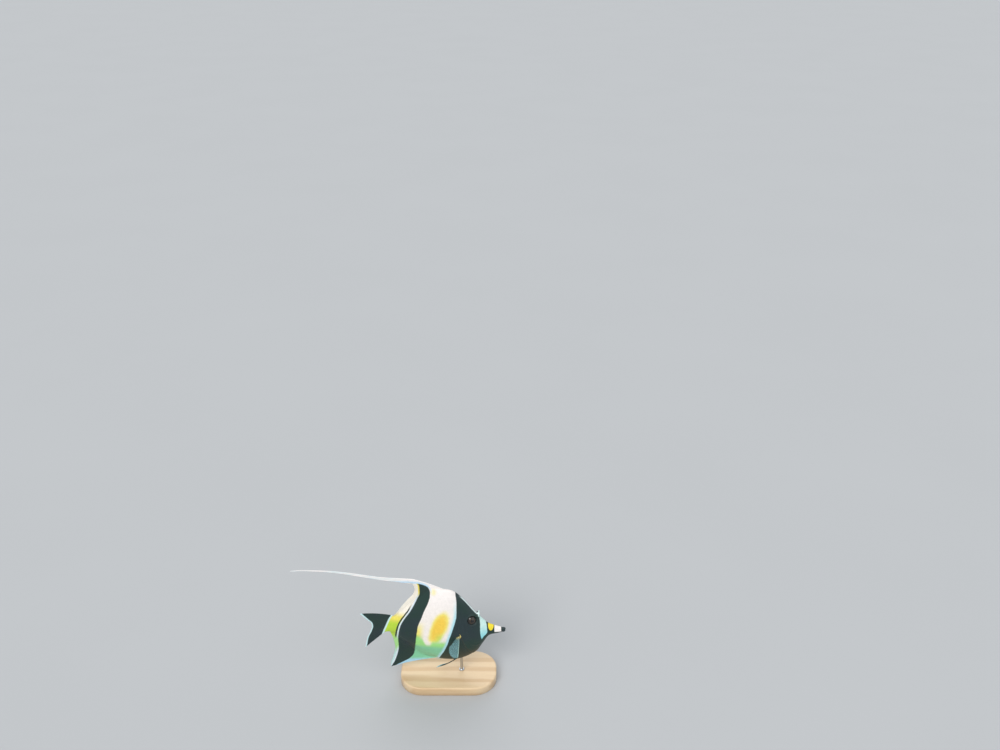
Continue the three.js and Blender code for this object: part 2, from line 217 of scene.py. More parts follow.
# The body's form, shared by the skin, the scales and the roots of the fins
body = {
    "length": 0.15,
    "origin": (-0.0765, 0.0, 0.084),
    "back": [
        (0.998, -0.022), (0.945, -0.006), (0.858, 0.03), (0.8, 0.087), (0.727, 0.176), (0.63, 0.306),
        (0.53, 0.378), (0.39, 0.358), (0.23, 0.246), (0.088, 0.122), (0.04, 0.108),
    ],
    "belly": [
        (0.992, -0.054), (0.94, -0.07), (0.862, -0.094), (0.81, -0.17), (0.755, -0.256), (0.65, -0.33),
        (0.54, -0.356), (0.4, -0.334), (0.235, -0.23), (0.05, -0.066), (-0.03, -0.053),
    ],
    "half": [0.011, 0.02, 0.029, 0.05, 0.066, 0.075, 0.077, 0.069, 0.048, 0.026, 0.009],
    "bellyFullness": 0.16,
    "bendFrom": 0.3,
    "bendSpan": 0.5,
    "bendDepth": 0.0045,
    "underScales": 0.00005,  # the skin lies under the scales by half their height
    "backSheath": ((0.05, 0.13), (0.52, 0.34)),  # where it fades in and out along x
    "bellySheath": ((0.01, 0.09), (0.42, 0.26)),
    "sheathHeight": 0.0072,
    "sheathShare": 0.8,  # and no higher than this share of the half thickness
    "sheathReach": 0.26,
    "muscleBands": 26,
    "muscleLean": 0.16,
    "muscleHeight": 0.000012,
    "muscleSpan": ((0.05, 0.2), (0.56, 0.46)),
}


def inShares(points):
    x = (points[..., 0] - body["origin"][0]) / body["length"]
    z = (points[..., 2] - body["origin"][2]) / body["length"]
    return x, z


def fromShares(x, y, z):
    # x and z are shares of the length, y is in metres
    return stack(x * body["length"] + body["origin"][0], y, z * body["length"] + body["origin"][2])


def bend(x):
    # the tail is carried to the right, as the square of the way behind bendFrom
    return -body["bendDepth"] * (np.maximum(0, body["bendFrom"] - x) / body["bendSpan"]) ** 2


def halfThickness(t):
    # a smooth line through the half thicknesses, from the lips to the tail root, in metres
    return through([(half,) for half in body["half"]], t)[..., 0] * body["length"]


def bareBody(t, angle):
    # a stretched ellipse across the line from the back's point to the belly's point at the same t
    back = through(body["back"], t)
    belly = through(body["belly"], t)
    middle = 0.5 * (back + belly) + 0.5 * (back - belly) * np.cos(angle)[..., None]
    y = halfThickness(t) * np.sin(angle) * (1 - body["bellyFullness"] * np.cos(angle))
    return fromShares(middle[..., 0], y + bend(middle[..., 0]), middle[..., 1])


def facing(surface, t, angle, step=2e-3):
    # the outward direction: the surface's change round the section crossed with that along it
    along = surface(np.minimum(t + step, 1), angle) - surface(np.maximum(t - step, 0), angle)
    across = surface(t, angle + step) - surface(t, angle - step)
    return unit(np.cross(across, along))


def findOnFlank(x, z, rounds=6, places=41):
    # the t and angle of the left flank's point at this x and z, by a grid that closes in on it
    tLow, tHigh, aLow, aHigh = 0.0, 1.0, 0.0, math.pi
    for _ in range(rounds):
        tSteps, aSteps = np.linspace(tLow, tHigh, places), np.linspace(aLow, aHigh, places)
        t, angle = np.meshgrid(tSteps, aSteps, indexing="ij")
        px, pz = inShares(bareBody(t, angle))
        best = np.argmin((px - x) ** 2 + (pz - z) ** 2)
        t0, a0 = t.flat[best], angle.flat[best]
        tStep, aStep = 2 * (tHigh - tLow) / (places - 1), 2 * (aHigh - aLow) / (places - 1)
        tLow, tHigh = max(0, t0 - tStep), min(1, t0 + tStep)
        aLow, aHigh = a0 - aStep, a0 + aStep
    return t0, a0


head = {
    "eyeAt": (0.72, 0.096),
    "eyeRadius": 0.006,
    "eyeDepth": 0.004,
    "eyeSunk": 0.0025,
    "orbitRadius": 0.00585,
    "orbitEdge": (-0.0011, 0.00035),
    "orbitDepth": 0.0034,
    "orbitBehind": 0.003,
    "hornAt": (0.765, 0.118),
    "hornHeight": 0.005,
    "hornReach": 0.0026,
    "hornSharpness": 1.25,
    "hornWay": (0.5, 0.9, 0.65),
    "hornOutward": 0.4,
    "nostrils": [(0.776, 0.08, 0.0009), (0.787, 0.067, 0.0007)],
    "nostrilDepth": 0.00085,
    "nostrilShare": 0.72,
    "gillLine": [
        (0.6, 0.45), (0.612, 0.25), (0.612, 0.1), (0.606, 0.035), (0.622, -0.045),
        (0.65, -0.13), (0.69, -0.22), (0.735, -0.3), (0.75, -0.42),
    ],
    "gillLift": 0.0007,
    "gillEdge": (-0.00045, 0.00035),
    "gillFade": 0.014,
    "gillSpan": ((-0.36, -0.2), (0.11, 0.03)),  # where it fades in and out along z
    "cheekLine": [
        (0.668, 0.09), (0.664, 0.02), (0.676, -0.06), (0.7, -0.12), (0.74, -0.155), (0.78, -0.15),
    ],
    "snoutFrom": (0.93, 0.95),
    "mouthFrom": (0.96, 0.97),
    "mouthHeight": -0.043,
    "mouthCurve": 0.25,
    "mouthLowest": 0.985,
    "mouthFold": [(0.966, -0.043), (0.957, -0.05), (0.95, -0.062)],
    "mouthFoldFrom": 0.0004,
    "lipsAt": 0.987,
    "finPadAt": (0.606, -0.038),
    "finPadStretch": 1.5,
    # each fold is a bell of the way from its line, in millimetres: height, offset and reach
    "folds": {
        "gillGroove": (-0.3, -0.85, 0.6), "cheek": (0.12, 0, 1.5), "cheekGroove": (-0.1, 2.4, 1.2),
        "lips": (0.5, 0, 1.7), "mouthEdges": (0.28, 0.75, 0.42), "mouthSeam": (-0.75, 0, 0.2),
        "mouthCorner": (-0.18, 0, 0.3), "nostrilRim": (0.22, 0, 0.3), "eyelid": (0.3, 1.2, 0.8),
        "finPad": (0.55, 0, 3.4),
    },
}


def eyeFrame(side):
    # the eye's middle lies just under the flank, and its axis points straight out of it
    t, angle = findOnFlank(*head["eyeAt"])
    t, angle = np.array([t]), np.array([angle if side > 0 else 2 * math.pi - angle])
    outward = facing(bareBody, t, angle)[0]
    centre = bareBody(t, angle)[0] - outward * head["eyeSunk"]
    return centre, outward


eyes = {side: eyeFrame(side) for side in (1, -1)}


def fromEye(points, centre, outward):
    # how far points lie out along an eye's axis, and how far beside it
    reachOut = points - centre
    depth = reachOut @ outward
    return depth, length(reachOut - depth[..., None] * outward)


def lineDistance(x, z, line, steps=80):
    # the shortest way, in metres, from each place to a line drawn on the side of the fish
    knots = through(line, np.linspace(0, 1, steps))
    flat = np.stack([np.ravel(x), np.ravel(z)], -1)
    best = np.full(len(flat), np.inf)
    for a, b in zip(knots[:-1], knots[1:]):
        way = b - a
        s = np.clip(((flat - a) @ way) / (way @ way), 0, 1)
        best = np.minimum(best, length(flat - a - s[:, None] * way))
    return best.reshape(np.shape(x)) * body["length"]


def lineX(z, line, steps=80):
    # where a line drawn on the side of the fish lies at each height
    knots = through(line, np.linspace(0, 1, steps))
    order = np.argsort(knots[:, 1])
    return np.interp(z, knots[order, 1], knots[order, 0])


def fold(name, distance):
    # a bell of the distance from the fold's line, in metres
    height, offset, reach = (0.001 * value for value in head["folds"][name])
    return height * bell(distance - offset, reach)


def within(value, fadeIn, fadeOut):
    # 1 between two S curves, each given by where it is 0 and where it is 1
    return ease(value, *fadeIn) * ease(value, *fadeOut)


def relief(bare):
    # how far the skin stands off the bare form: gill cover, cheek, lips, nostrils and orbits, each
    # a bell or an S of the distance to it, in metres
    x, z = inShares(bare)
    toGill = lineDistance(x, z, head["gillLine"])
    ahead = x > lineX(z, head["gillLine"])
    fromGill = np.where(ahead, toGill, -toGill)
    cover = ease(fromGill, *head["gillEdge"]) * (1 - ease(toGill, 0, head["gillFade"]))
    rise = within(z, *head["gillSpan"]) * (head["gillLift"] * cover + fold("gillGroove", fromGill))
    toCheek = lineDistance(x, z, head["cheekLine"])
    rise += fold("cheek", toCheek) + fold("cheekGroove", toCheek)
    # lips, the line of the mouth and the fold at its corner
    rise += fold("lips", (x - head["lipsAt"]) * body["length"])
    mouthZ = head["mouthHeight"] + head["mouthCurve"] * (x - head["mouthLowest"]) ** 2
    fromMouth = np.abs(z - mouthZ) * body["length"]
    seam = fold("mouthEdges", fromMouth) + fold("mouthSeam", fromMouth)
    rise += ease(x, *head["snoutFrom"]) * ease(x, *head["mouthFrom"]) * seam
    corner = fold("mouthCorner", lineDistance(x, z, head["mouthFold"], 12))
    rise += corner * (np.abs(bare[..., 1] - bend(x)) > head["mouthFoldFrom"])
    # nostrils: a pit with a low rim
    for px, pz, radius in head["nostrils"]:
        away = np.hypot(x - px, z - pz) * body["length"]
        pit = head["nostrilDepth"] * bell(away, head["nostrilShare"] * radius)
        rise += fold("nostrilRim", away - radius) - pit
    # orbits: the skin rises a little round the eye, then dives under it
    for centre, outward in eyes.values():
        depth, away = fromEye(bare, centre, outward)
        away = away - head["orbitRadius"]
        dive = head["orbitDepth"] * (1 - ease(away, *head["orbitEdge"]))
        rise += np.where(depth > -head["orbitBehind"], fold("eyelid", away) - dive, 0)
    # the muscle pad that the pectoral fin swings on
    px, pz = head["finPadAt"]
    pad = np.hypot((x - px) * head["finPadStretch"], z - pz) * body["length"]
    rise += fold("finPad", pad) * ~ahead
    # faint muscle bands, like flattened V's, behind the gills
    wave = np.sin((x + body["muscleLean"] * np.abs(z)) * 2 * math.pi * body["muscleBands"])
    return rise + body["muscleHeight"] * wave * within(x, *body["muscleSpan"])


def sheath(bare, t):
    # the body runs out into the back fin and the belly fin as a wedge: each point moves straight up
    # or down, by a bell of its way from the middle plane
    x, z = inShares(bare)
    half = halfThickness(t)
    back = within(x, *body["backSheath"]) * (z > 0)
    belly = within(x, *body["bellySheath"]) * (z < 0)
    rise = np.minimum(body["sheathHeight"], body["sheathShare"] * half)
    rise = rise * bell(bare[..., 1] - bend(x), body["sheathReach"] * half)
    return stack(0.0, 0.0, (back - belly) * rise)


def hornLean(bare, outward):
    # the short bony horn in front of each eye: the skin is drawn out forwards, most at its middle
    x, z = inShares(bare)
    hx, hz = head["hornAt"]
    away = np.hypot(x - hx, z - hz) * body["length"]
    peak = np.maximum(0, 1 - away / head["hornReach"]) ** head["hornSharpness"]
    forward, sideways, up = head["hornWay"]
    way = unit(stack(forward, sideways * np.sign(bare[..., 1]), up) + head["hornOutward"] * outward)
    return way * (head["hornHeight"] * peak)[..., None]


def skinSurface(t, angle):
    # the bare form, moved outwards by the relief, then drawn out into the horns and sheaths
    bare = bareBody(t, angle)
    outward = facing(bareBody, t, angle)
    rise = relief(bare) - body["underScales"]
    return bare + outward * rise[..., None] + hornLean(bare, outward) + sheath(bare, t)


# The skin: one surface from the lips to the tail fin's root
skin = {
    "headRows": 186,
    "trunkRows": 160,
    "headEnd": 0.66,
    "columns": 250,
    "eyeBoost": 2.4,
    "eyeAngle": 0.94,
    "eyeSpread": 0.22,
    "lipRows": 9,
    "lipForward": 0.0008,
    "lipTurn": 0.96,
    "mouthGap": 0.00022,
    "mouthDepth": 0.0007,
    "tailRows": 8,
    "tailReach": 0.0026,
    "tailRoundness": 0.35,
    "tailThinning": 0.62,
}


def skinParameters():
    # rows at even steps of x, finer on the head; columns closer together round the eyes
    t = np.linspace(0, 1, 2001)
    middle = 0.5 * (through(body["back"], t)[:, 0] + through(body["belly"], t)[:, 0])
    headX = np.linspace(middle[0], skin["headEnd"], skin["headRows"])
    trunkX = np.linspace(skin["headEnd"], middle[-1], skin["trunkRows"] + 1)[1:]
    rowT = np.interp(-np.concatenate([headX, trunkX]), -middle, t)
    a = np.linspace(0, 2 * math.pi, 4001)
    eyePlaces = (skin["eyeAngle"], 2 * math.pi - skin["eyeAngle"])
    density = 1 + skin["eyeBoost"] * sum(bell(a - place, skin["eyeSpread"]) for place in eyePlaces)
    filled = np.concatenate([[0], np.cumsum(0.5 * (density[1:] + density[:-1]))])
    filled /= filled[-1]
    column = np.interp(np.arange(skin["columns"]) / skin["columns"], filled, a)
    return rowT, column


def lipEnd(ring):
    # the lips close in a quarter circle, and the line of the mouth cuts into it
    turn = np.linspace(math.pi / 2, 0, skin["lipRows"], endpoint=False)[:, None]
    middle = ring.mean(0)
    grid = middle + (ring - middle) * np.cos(turn * skin["lipTurn"])[..., None]
    _, z = inShares(grid)
    cut = skin["mouthDepth"] * bell((z - head["mouthHeight"]) * body["length"], skin["mouthGap"])
    return grid + stack((skin["lipForward"] - cut) * np.sin(turn), 0.0, 0.0)


def tailEnd(ring):
    # rows further and further back from the slanted last ring, each thinner, over the fin's root
    top, bottom = np.array(body["back"][-1]), np.array(body["belly"][-1])
    upwards = unit(top - bottom)
    x, z = inShares(ring)
    height = (np.stack([x, z], -1) - 0.5 * (top + bottom)) @ upwards / (0.5 * length(top - bottom))
    out = np.linspace(0, 1, skin["tailRows"] + 1)[1:, None]
    step = out * skin["tailReach"] / body["length"] * (1 - skin["tailRoundness"] * height**2)
    backX, backZ = x - upwards[1] * step, z + upwards[0] * step
    y = (ring[:, 1] - bend(x)) * (1 - skin["tailThinning"] * out)
    return fromShares(backX, y + bend(backX), backZ)


skinGrid = skinSurface(*np.meshgrid(*skinParameters(), indexing="ij"))
skinGrid = np.concatenate([lipEnd(skinGrid[0]), skinGrid, tailEnd(skinGrid[-1])])
skinPiece = addTube("skin", skinGrid)
print("skin shaped:", len(skinPiece.data.polygons), "faces")


def insideMap(share):
    # a share of 0 to 1, kept off the map's border
    return 0.01 + 0.98 * share


def unwrapSkin(piece, rows, columns):
    # u runs from the lips to the tail and v once round the body, with the seam along the back
    index = cornerIndex(piece)
    inGrid = index < rows * columns
    row = np.where(inGrid, index // columns, np.where(index == rows * columns, 0, rows - 1))
    column = np.where(inGrid, index % columns, columns // 2).astype(float)
    starts = np.empty(len(piece.data.polygons), np.int32)
    counts = np.empty(len(piece.data.polygons), np.int32)
    piece.data.polygons.foreach_get("loop_start", starts)
    piece.data.polygons.foreach_get("loop_total", counts)
    owner = np.repeat(np.arange(len(starts)), counts)
    widest = np.maximum.reduceat(np.where(inGrid, column, 0), starts)[owner]
    column = np.where((widest > columns - 1.5) & (column < 1), columns, column)
    uv = np.stack([row / (rows - 1), column / columns], -1)
    addMap(piece, "OFBake", insideMap(uv))


unwrapSkin(skinPiece, *skinGrid.shape[:2])


# The nodes of every material
def paint(red, green, blue):
    # a screen colour of 0 to 255 as the shader's linear one
    share = np.array([red, green, blue]) / 255
    linear = np.where(share <= 0.04045, share / 12.92, ((share + 0.055) / 1.055) ** 2.4)
    return (*linear.tolist(), 1.0)


def feed(tree, socket, value):
    if isinstance(value, bpy.types.NodeSocket):
        tree.links.new(value, socket)
    else:
        socket.default_value = value


def addMath(tree, operation, *values):
    node = tree.nodes.new("ShaderNodeMath")
    node.operation = operation
    for socket, value in zip(node.inputs, values):
        feed(tree, socket, value)
    return node.outputs[0]


def addRamp(tree, value, low, high, first=0.0, last=1.0):
    # a smooth step from first to last as the value goes from low to high
    node = tree.nodes.new("ShaderNodeMapRange")
    node.interpolation_type = "SMOOTHSTEP"
    for name, number in zip(("From Min", "From Max", "To Min", "To Max"), (low, high, first, last)):
        node.inputs[name].default_value = number
    feed(tree, node.inputs["Value"], value)
    return node.outputs["Result"]


def addMix(tree, share, first, second):
    # sockets 6 and 7 and output 2 are the node's colours
    node = tree.nodes.new("ShaderNodeMix")
    node.data_type = "RGBA"
    feed(tree, node.inputs["Factor"], share)
    feed(tree, node.inputs[6], first)
    feed(tree, node.inputs[7], second)
    return node.outputs[2]


def addNoise(tree, vector, size, detail=2.0):
    # size is how many times the noise repeats in one unit of the vector
    node = tree.nodes.new("ShaderNodeTexNoise")
    node.inputs["Scale"].default_value = size
    node.inputs["Detail"].default_value = detail
    feed(tree, node.inputs["Vector"], vector)
    return node.outputs[0]


curveLow, curveSpan = -0.6, 1.6  # what a curve's value and result may lie between


def addCurve(tree, value, points):
    # a smooth line through points (value, result)
    node = tree.nodes.new("ShaderNodeFloatCurve")
    knots = node.mapping.curves[0].points
    placed = [((a - curveLow) / curveSpan, (b - curveLow) / curveSpan) for a, b in sorted(points)]
    while len(knots) < len(placed):
        knots.new(0.5, 0.5)
    for knot, spot in zip(knots, placed):
        knot.location = spot
        knot.handle_type = "AUTO_CLAMPED"
    node.mapping.update()
    placedValue = addMath(tree, "MULTIPLY_ADD", value, 1 / curveSpan, -curveLow / curveSpan)
    feed(tree, node.inputs["Value"], placedValue)
    return addMath(tree, "MULTIPLY_ADD", node.outputs[0], curveSpan, curveLow)


def addBump(tree, height, distance, under=None):
    node = tree.nodes.new("ShaderNodeBump")
    node.inputs["Distance"].default_value = distance
    feed(tree, node.inputs["Height"], height)
    if under is not None:
        tree.links.new(under, node.inputs["Normal"])
    return node.outputs[0]


def objectPlace(tree):
    return tree.nodes.new("ShaderNodeTexCoord").outputs["Object"]


def mapped(tree, scale, shift=(0, 0, 0)):
    # the piece's own coordinates, stretched and then shifted
    node = tree.nodes.new("ShaderNodeMapping")
    node.inputs["Scale"].default_value = scale
    node.inputs["Location"].default_value = shift
    feed(tree, node.inputs["Vector"], objectPlace(tree))
    return node.outputs[0]


def parted(tree, vector):
    node = tree.nodes.new("ShaderNodeSeparateXYZ")
    feed(tree, node.inputs[0], vector)
    return tuple(node.outputs)


def shaded(tree, colour, share):
    node = tree.nodes.new("ShaderNodeVectorMath")
    node.operation = "SCALE"
    feed(tree, node.inputs[0], colour)
    feed(tree, node.inputs["Scale"], share)
    return node.outputs[0]


def valueOf(tree, name):
    node = tree.nodes.new("ShaderNodeAttribute")
    node.attribute_name = name
    return node.outputs["Fac"]


def mapOf(tree, name):
    node = tree.nodes.new("ShaderNodeUVMap")
    node.uv_map = name
    return parted(tree, node.outputs[0])[:2]


def newMaterial(name, roughness, coat=0.0, coatRoughness=0.2):
    material = bpy.data.materials.new(name)
    material.use_nodes = True
    tree = material.node_tree
    shader = tree.nodes["Principled BSDF"]
    shader.inputs["Roughness"].default_value = roughness
    shader.inputs["Coat Weight"].default_value = coat
    shader.inputs["Coat Roughness"].default_value = coatRoughness
    return material, tree, shader.inputs


# The markings, in shares of the body's length. Each border gives x at a height z, apart from
# dorsalWhite, which gives z at x. A spot is an ellipse: its middle, its half lengths and, where it
# leans, the way of the first
borderHalf = 0.0035  # half the width over which one colour turns into the next
markings = {
    "wander": 0.011,
    "wanderNoise": 9.0,
    "fineWander": 0.004,
    "fineNoise": 70.0,
    "blotchWander": 0.5,
    "hueNoise": 5.0,
    "mottleNoise": (38.0, 3.0),
    "mottle": (0.35, 0.7, 0.95, 1.0),
    "darkUnder": (0.12, 0.03),
    "tongueAt": 0.34,
    "tongue": (0.05, 0.01, 0.0, 0.045),
    # painted shade: how much higher the green stands near the rear band
    "shadeGreenRise": (0.1, 0.0, 0.0, 0.05),
    "borders": {
        "frontBandRear": [
            (-0.5, 0.37), (-0.36, 0.42), (-0.3, 0.44), (-0.256, 0.46), (-0.207, 0.484),
            (-0.137, 0.51), (-0.056, 0.533), (0.02, 0.555), (0.092, 0.575), (0.16, 0.587),
            (0.226, 0.59), (0.3, 0.588), (0.36, 0.58), (0.45, 0.575),
        ],
        "rearBandFront": [
            (-0.45, 0.02), (-0.413, 0.069), (-0.385, 0.12), (-0.329, 0.196), (-0.281, 0.217),
            (-0.193, 0.231), (-0.116, 0.24), (-0.018, 0.254), (0.027, 0.262), (0.109, 0.291),
            (0.178, 0.316), (0.259, 0.351), (0.323, 0.372), (0.362, 0.373), (0.407, 0.357), (0.46, 0.33),
        ],
        "rearBandBack": [
            (-0.45, 0.0), (-0.417, 0.022), (-0.353, 0.054), (-0.282, 0.076), (-0.208, 0.086),
            (-0.158, 0.085), (-0.07, 0.093), (-0.003, 0.106), (0.072, 0.135), (0.129, 0.17),
            (0.178, 0.204), (0.234, 0.235), (0.283, 0.259), (0.362, 0.286), (0.426, 0.284), (0.45, 0.27),
        ],
        "tailLine": [
            (-0.3, -0.13), (-0.054, -0.032), (-0.009, -0.015), (0.054, 0.009), (0.094, 0.028),
            (0.112, 0.04), (0.138, 0.05), (0.3, 0.11),
        ],
        "faceRear": [
            (-0.12, 0.798), (-0.106, 0.797), (-0.039, 0.789), (0.011, 0.787), (0.059, 0.785),
            (0.13, 0.772), (0.191, 0.735), (0.296, 0.66),
        ],
        "faceFront": [
            (-0.12, 0.79), (-0.106, 0.798), (-0.08, 0.812), (-0.055, 0.838), (-0.034, 0.845),
            (0.015, 0.842), (0.059, 0.833), (0.09, 0.826), (0.12, 0.85), (0.15, 0.9),
        ],
    },
    "dorsalWhite": [
        (0.1, 0.455), (0.2, 0.452), (0.245, 0.447), (0.298, 0.439), (0.356, 0.407), (0.373, 0.385),
        (0.41, 0.3),
    ],
    "spots": {
        "blotch": ((0.439, 0.026), (0.17, 0.066), (0.352, 0.936)),
        "glow": ((0.402, 0.366), (0.03, 0.035)),
        "saddle": ((0.877, 0.026), (0.025, 0.055)),
    },
    "steadySpots": {  # these don't wander
        "finBase": ((0.613, -0.05), (0.013, 0.021)),
        "finShade": ((0.6065, -0.042), (0.0105, 0.018)),
    },
    "colours": {
        "black": paint(16, 50, 42),
        "blueBlack": paint(26, 46, 50),
        "white": paint(254, 246, 238),
        "upperWhite": paint(255, 248, 244),
        "yellow": paint(254, 214, 78),
        "paleYellow": paint(253, 240, 128),
        "yellowGreen": paint(196, 232, 100),
        # painted shade: the green and the turquoise that darken the lower flank and belly
        "leaf": paint(165, 232, 138),
        "turquoise": paint(134, 208, 165),
        "bandRim": paint(190, 238, 248),
        "lime": paint(190, 222, 60),
        "rearLime": paint(176, 216, 80),
        "rearYellow": paint(242, 226, 96),
        "cream": paint(255, 247, 232),
        "analLime": paint(180, 236, 150),
        "paleBlue": paint(205, 236, 234),
        "bellyBlue": paint(172, 218, 242),
        "besideBand": paint(226, 240, 248),
        "finRim": paint(200, 230, 250),
        "faceTop": paint(214, 246, 240),
        "face": paint(150, 230, 240),
        "saddleYellow": paint(252, 228, 44),
        "browBlue": paint(226, 242, 242),
        "finYellow": paint(226, 206, 120),
    },
    # each field is its first tint with the others laid over it in turn. A tint's share is the
    # product of its ramps: what the ramp follows, where it starts and where it ends
    "fields": {
        "dark": ["black", ("blueBlack", ("hue", 0.35, 0.7))],
        "blotchRim": ["paleYellow", ("yellowGreen", ("z", 0.0, -0.11), ("x", 0.38, 0.46))],
        "blotchHeart": ["yellow", ("yellowGreen", ("z", 0.0, -0.11), ("x", 0.38, 0.46))],
        "rearEdge": ["paleYellow", ("rearLime", ("z", -0.03, -0.12))],
        "middleField": [
            "white",
            ("upperWhite", ("z", 0.05, 0.33)),
            ("blotchRim", ("blotch", 1.25, 0.8)),
            ("blotchHeart", ("blotch", 1.02, 0.5)),
            ("rearEdge", ("rearBandFront", 0.075, 0.01), ("z", -0.2, -0.1), ("z", 0.1, -0.02)),
            ("paleYellow", ("glow", 1.2, 0.2, 0.0, 0.55)),
            # painted shade: the lower flank turns green, then turquoise towards the belly
            ("leaf", ("lowZ", -0.09, -0.15)),
            ("turquoise", ("z", -0.15, -0.205)),
            ("bandRim", ("frontBandRear", -0.034, -0.006), ("z", 0.34, 0.1)),
            ("bellyBlue", ("z", -0.335, -0.375)),
        ],
        "bandEdge": ["besideBand", ("rearYellow", ("z", 0.3, 0.36))],
        "rearField": [
            "lime",
            ("rearYellow", ("z", 0.04, 0.1)),
            ("cream", ("z", 0.1, 0.17)),
            ("analLime", ("z", -0.06, -0.14)),
            ("paleBlue", ("z", -0.2, -0.3)),
            (
                "dark", ("rearBandBack", -0.0125, -0.0155), ("rearBandBack", -0.0295, -0.0255),
                ("z", 0.26, 0.17), ("z", -0.13, -0.09),
            ),
            ("bandEdge", ("rearBandBack", -0.0125, -0.0105), ("z", -0.15, -0.09)),
            ("bandEdge", ("rearBandBack", -0.0125, -0.0105), ("z", -0.2, -0.26)),
        ],
        "crown": ["upperWhite", ("finRim", ("dorsalWhite", 0.03, 0.005))],
        "facePatch": ["face", ("faceTop", ("z", -0.09, 0.05))],
        "frontBand": [
            "dark",
            (
                "facePatch", ("faceRear", -borderHalf, borderHalf), ("faceFront", borderHalf, -borderHalf),
                ("z", -0.108, -0.09),
            ),
            ("browBlue", ("fromMiddle", 0.0125, 0.0085), ("z", 0.1, 0.13), ("z", 0.33, 0.29)),
            ("upperWhite", ("x", 0.904, 0.91), ("x", 0.967, 0.961), ("z", -0.052, -0.044)),
            ("saddleYellow", ("saddle", 1.05, 0.95)),
            ("finYellow", ("finBase", 1.15, 0.85), ("finShade", 0.8, 1.1)),
        ],
        "whole": [
            "middleField",
            ("dark", ("rearBandFront", borderHalf, -borderHalf)),
            ("rearField", ("rearBandBack", borderHalf, -borderHalf)),
            ("crown", ("dorsalWhite", -borderHalf, borderHalf), ("x", 0.4, 0.37)),
            ("frontBand", ("frontBandRear", -borderHalf, borderHalf)),
            ("paleBlue", ("tailLine", 0.009, 0.004), ("z", 0.3, 0.27)),
            ("dark", ("tailLine", -0.006, -0.011), ("z", 0.3, 0.27)),
        ],
    },
}


def addSpot(tree, x, z, at, half, way=(1.0, 0.0)):
    # 1 on the rim of an ellipse, less inside it: the root of the two squared shares' sum
    fromX = addMath(tree, "SUBTRACT", x, at[0])
    fromZ = addMath(tree, "SUBTRACT", z, at[1])
    squares = []
    for (dx, dz), reach in zip((way, (-way[1], way[0])), half):
        alongZ = addMath(tree, "MULTIPLY", fromZ, dz / reach)
        along = addMath(tree, "MULTIPLY_ADD", fromX, dx / reach, alongZ)
        squares.append(addMath(tree, "POWER", along, 2.0))
    return addMath(tree, "SQRT", addMath(tree, "ADD", *squares))


def followed(tree, place):
    # everything that a ramp can follow: the place itself, how far it is past each border and how
    # far out it lies in each spot. The borders wander a little with a noise
    trueX, y, z = parted(tree, place)
    broad = addNoise(tree, place, markings["wanderNoise"])
    fine = addNoise(tree, place, markings["fineNoise"])
    back = 0.5 * (markings["wander"] + markings["fineWander"])
    x = addMath(tree, "MULTIPLY_ADD", broad, markings["wander"], addMath(tree, "SUBTRACT", trueX, back))
    x = addMath(tree, "MULTIPLY_ADD", fine, markings["fineWander"], x)
    values = {"x": x, "z": z, "fromMiddle": addMath(tree, "ABSOLUTE", y)}
    values["hue"] = addNoise(tree, place, markings["hueNoise"])
    for name, line in markings["borders"].items():
        values[name] = addMath(tree, "SUBTRACT", x, addCurve(tree, z, line))
    values["dorsalWhite"] = addMath(tree, "SUBTRACT", z, addCurve(tree, x, markings["dorsalWhite"]))
    for kind, along in (("spots", x), ("steadySpots", trueX)):
        for name, spot in markings[kind].items():
            values[name] = addSpot(tree, along, z, *spot)
    drift = addMath(tree, "SUBTRACT", broad, 0.5)
    values["blotch"] = addMath(tree, "MULTIPLY_ADD", drift, markings["blotchWander"], values["blotch"])
    # the painted shade's green stands higher beside the rear band and lower under the blotch's tongue of
    # white
    risen = addMath(tree, "SUBTRACT", z, addRamp(tree, values["rearBandFront"], *markings["shadeGreenRise"]))
    fromTongue = addMath(tree, "ABSOLUTE", addMath(tree, "SUBTRACT", x, markings["tongueAt"]))
    values["lowZ"] = addMath(tree, "ADD", risen, addRamp(tree, fromTongue, *markings["tongue"]))
    return values


def buildMarkings():
    tree = bpy.data.node_groups.new("idolMarkings", "ShaderNodeTree")
    tree.interface.new_socket("paint", in_out="OUTPUT", socket_type="NodeSocketColor")
    tree.interface.new_socket("dark", in_out="OUTPUT", socket_type="NodeSocketFloat")
    shift = [-o / body["length"] for o in body["origin"]]
    place = mapped(tree, [1 / body["length"]] * 3, shift)
    values = followed(tree, place)
    tints = dict(markings["colours"])
    for field, (first, *others) in markings["fields"].items():
        tints[field] = tints[first]
        for tint, *ramps in others:
            share, *further = [addRamp(tree, values[name], *ends) for name, *ends in ramps]
            for mask in further:
                share = addMath(tree, "MULTIPLY", share, mask)
            tints[field] = addMix(tree, share, tints[field], tints[tint])
    mottle = addRamp(tree, addNoise(tree, place, *markings["mottleNoise"]), *markings["mottle"])
    grey = tree.nodes.new("ShaderNodeRGBToBW")
    feed(tree, grey.inputs[0], tints["whole"])
    result = tree.nodes.new("NodeGroupOutput")
    feed(tree, result.inputs["paint"], shaded(tree, tints["whole"], mottle))
    feed(tree, result.inputs["dark"], addRamp(tree, grey.outputs[0], *markings["darkUnder"]))
    return tree


markingsGroup = buildMarkings()


def addMarkings(tree):
    node = tree.nodes.new("ShaderNodeGroup")
    node.node_tree = markingsGroup
    return node.outputs["paint"], node.outputs["dark"]


skinLook = {
    "pores": 1400,
    "poreDepth": 0.00008,
    "unevenness": 260.0,
    "unevenDepth": 0.0002,
    "roughness": (0.0, 1.0, 0.47, 0.4),  # from the pale skin to the dark
    "scaleRoughness": (0.9, 1.05, 0.48, 0.38),  # from the darkest scale to the lightest
    "darkContrast": 0.9,
}


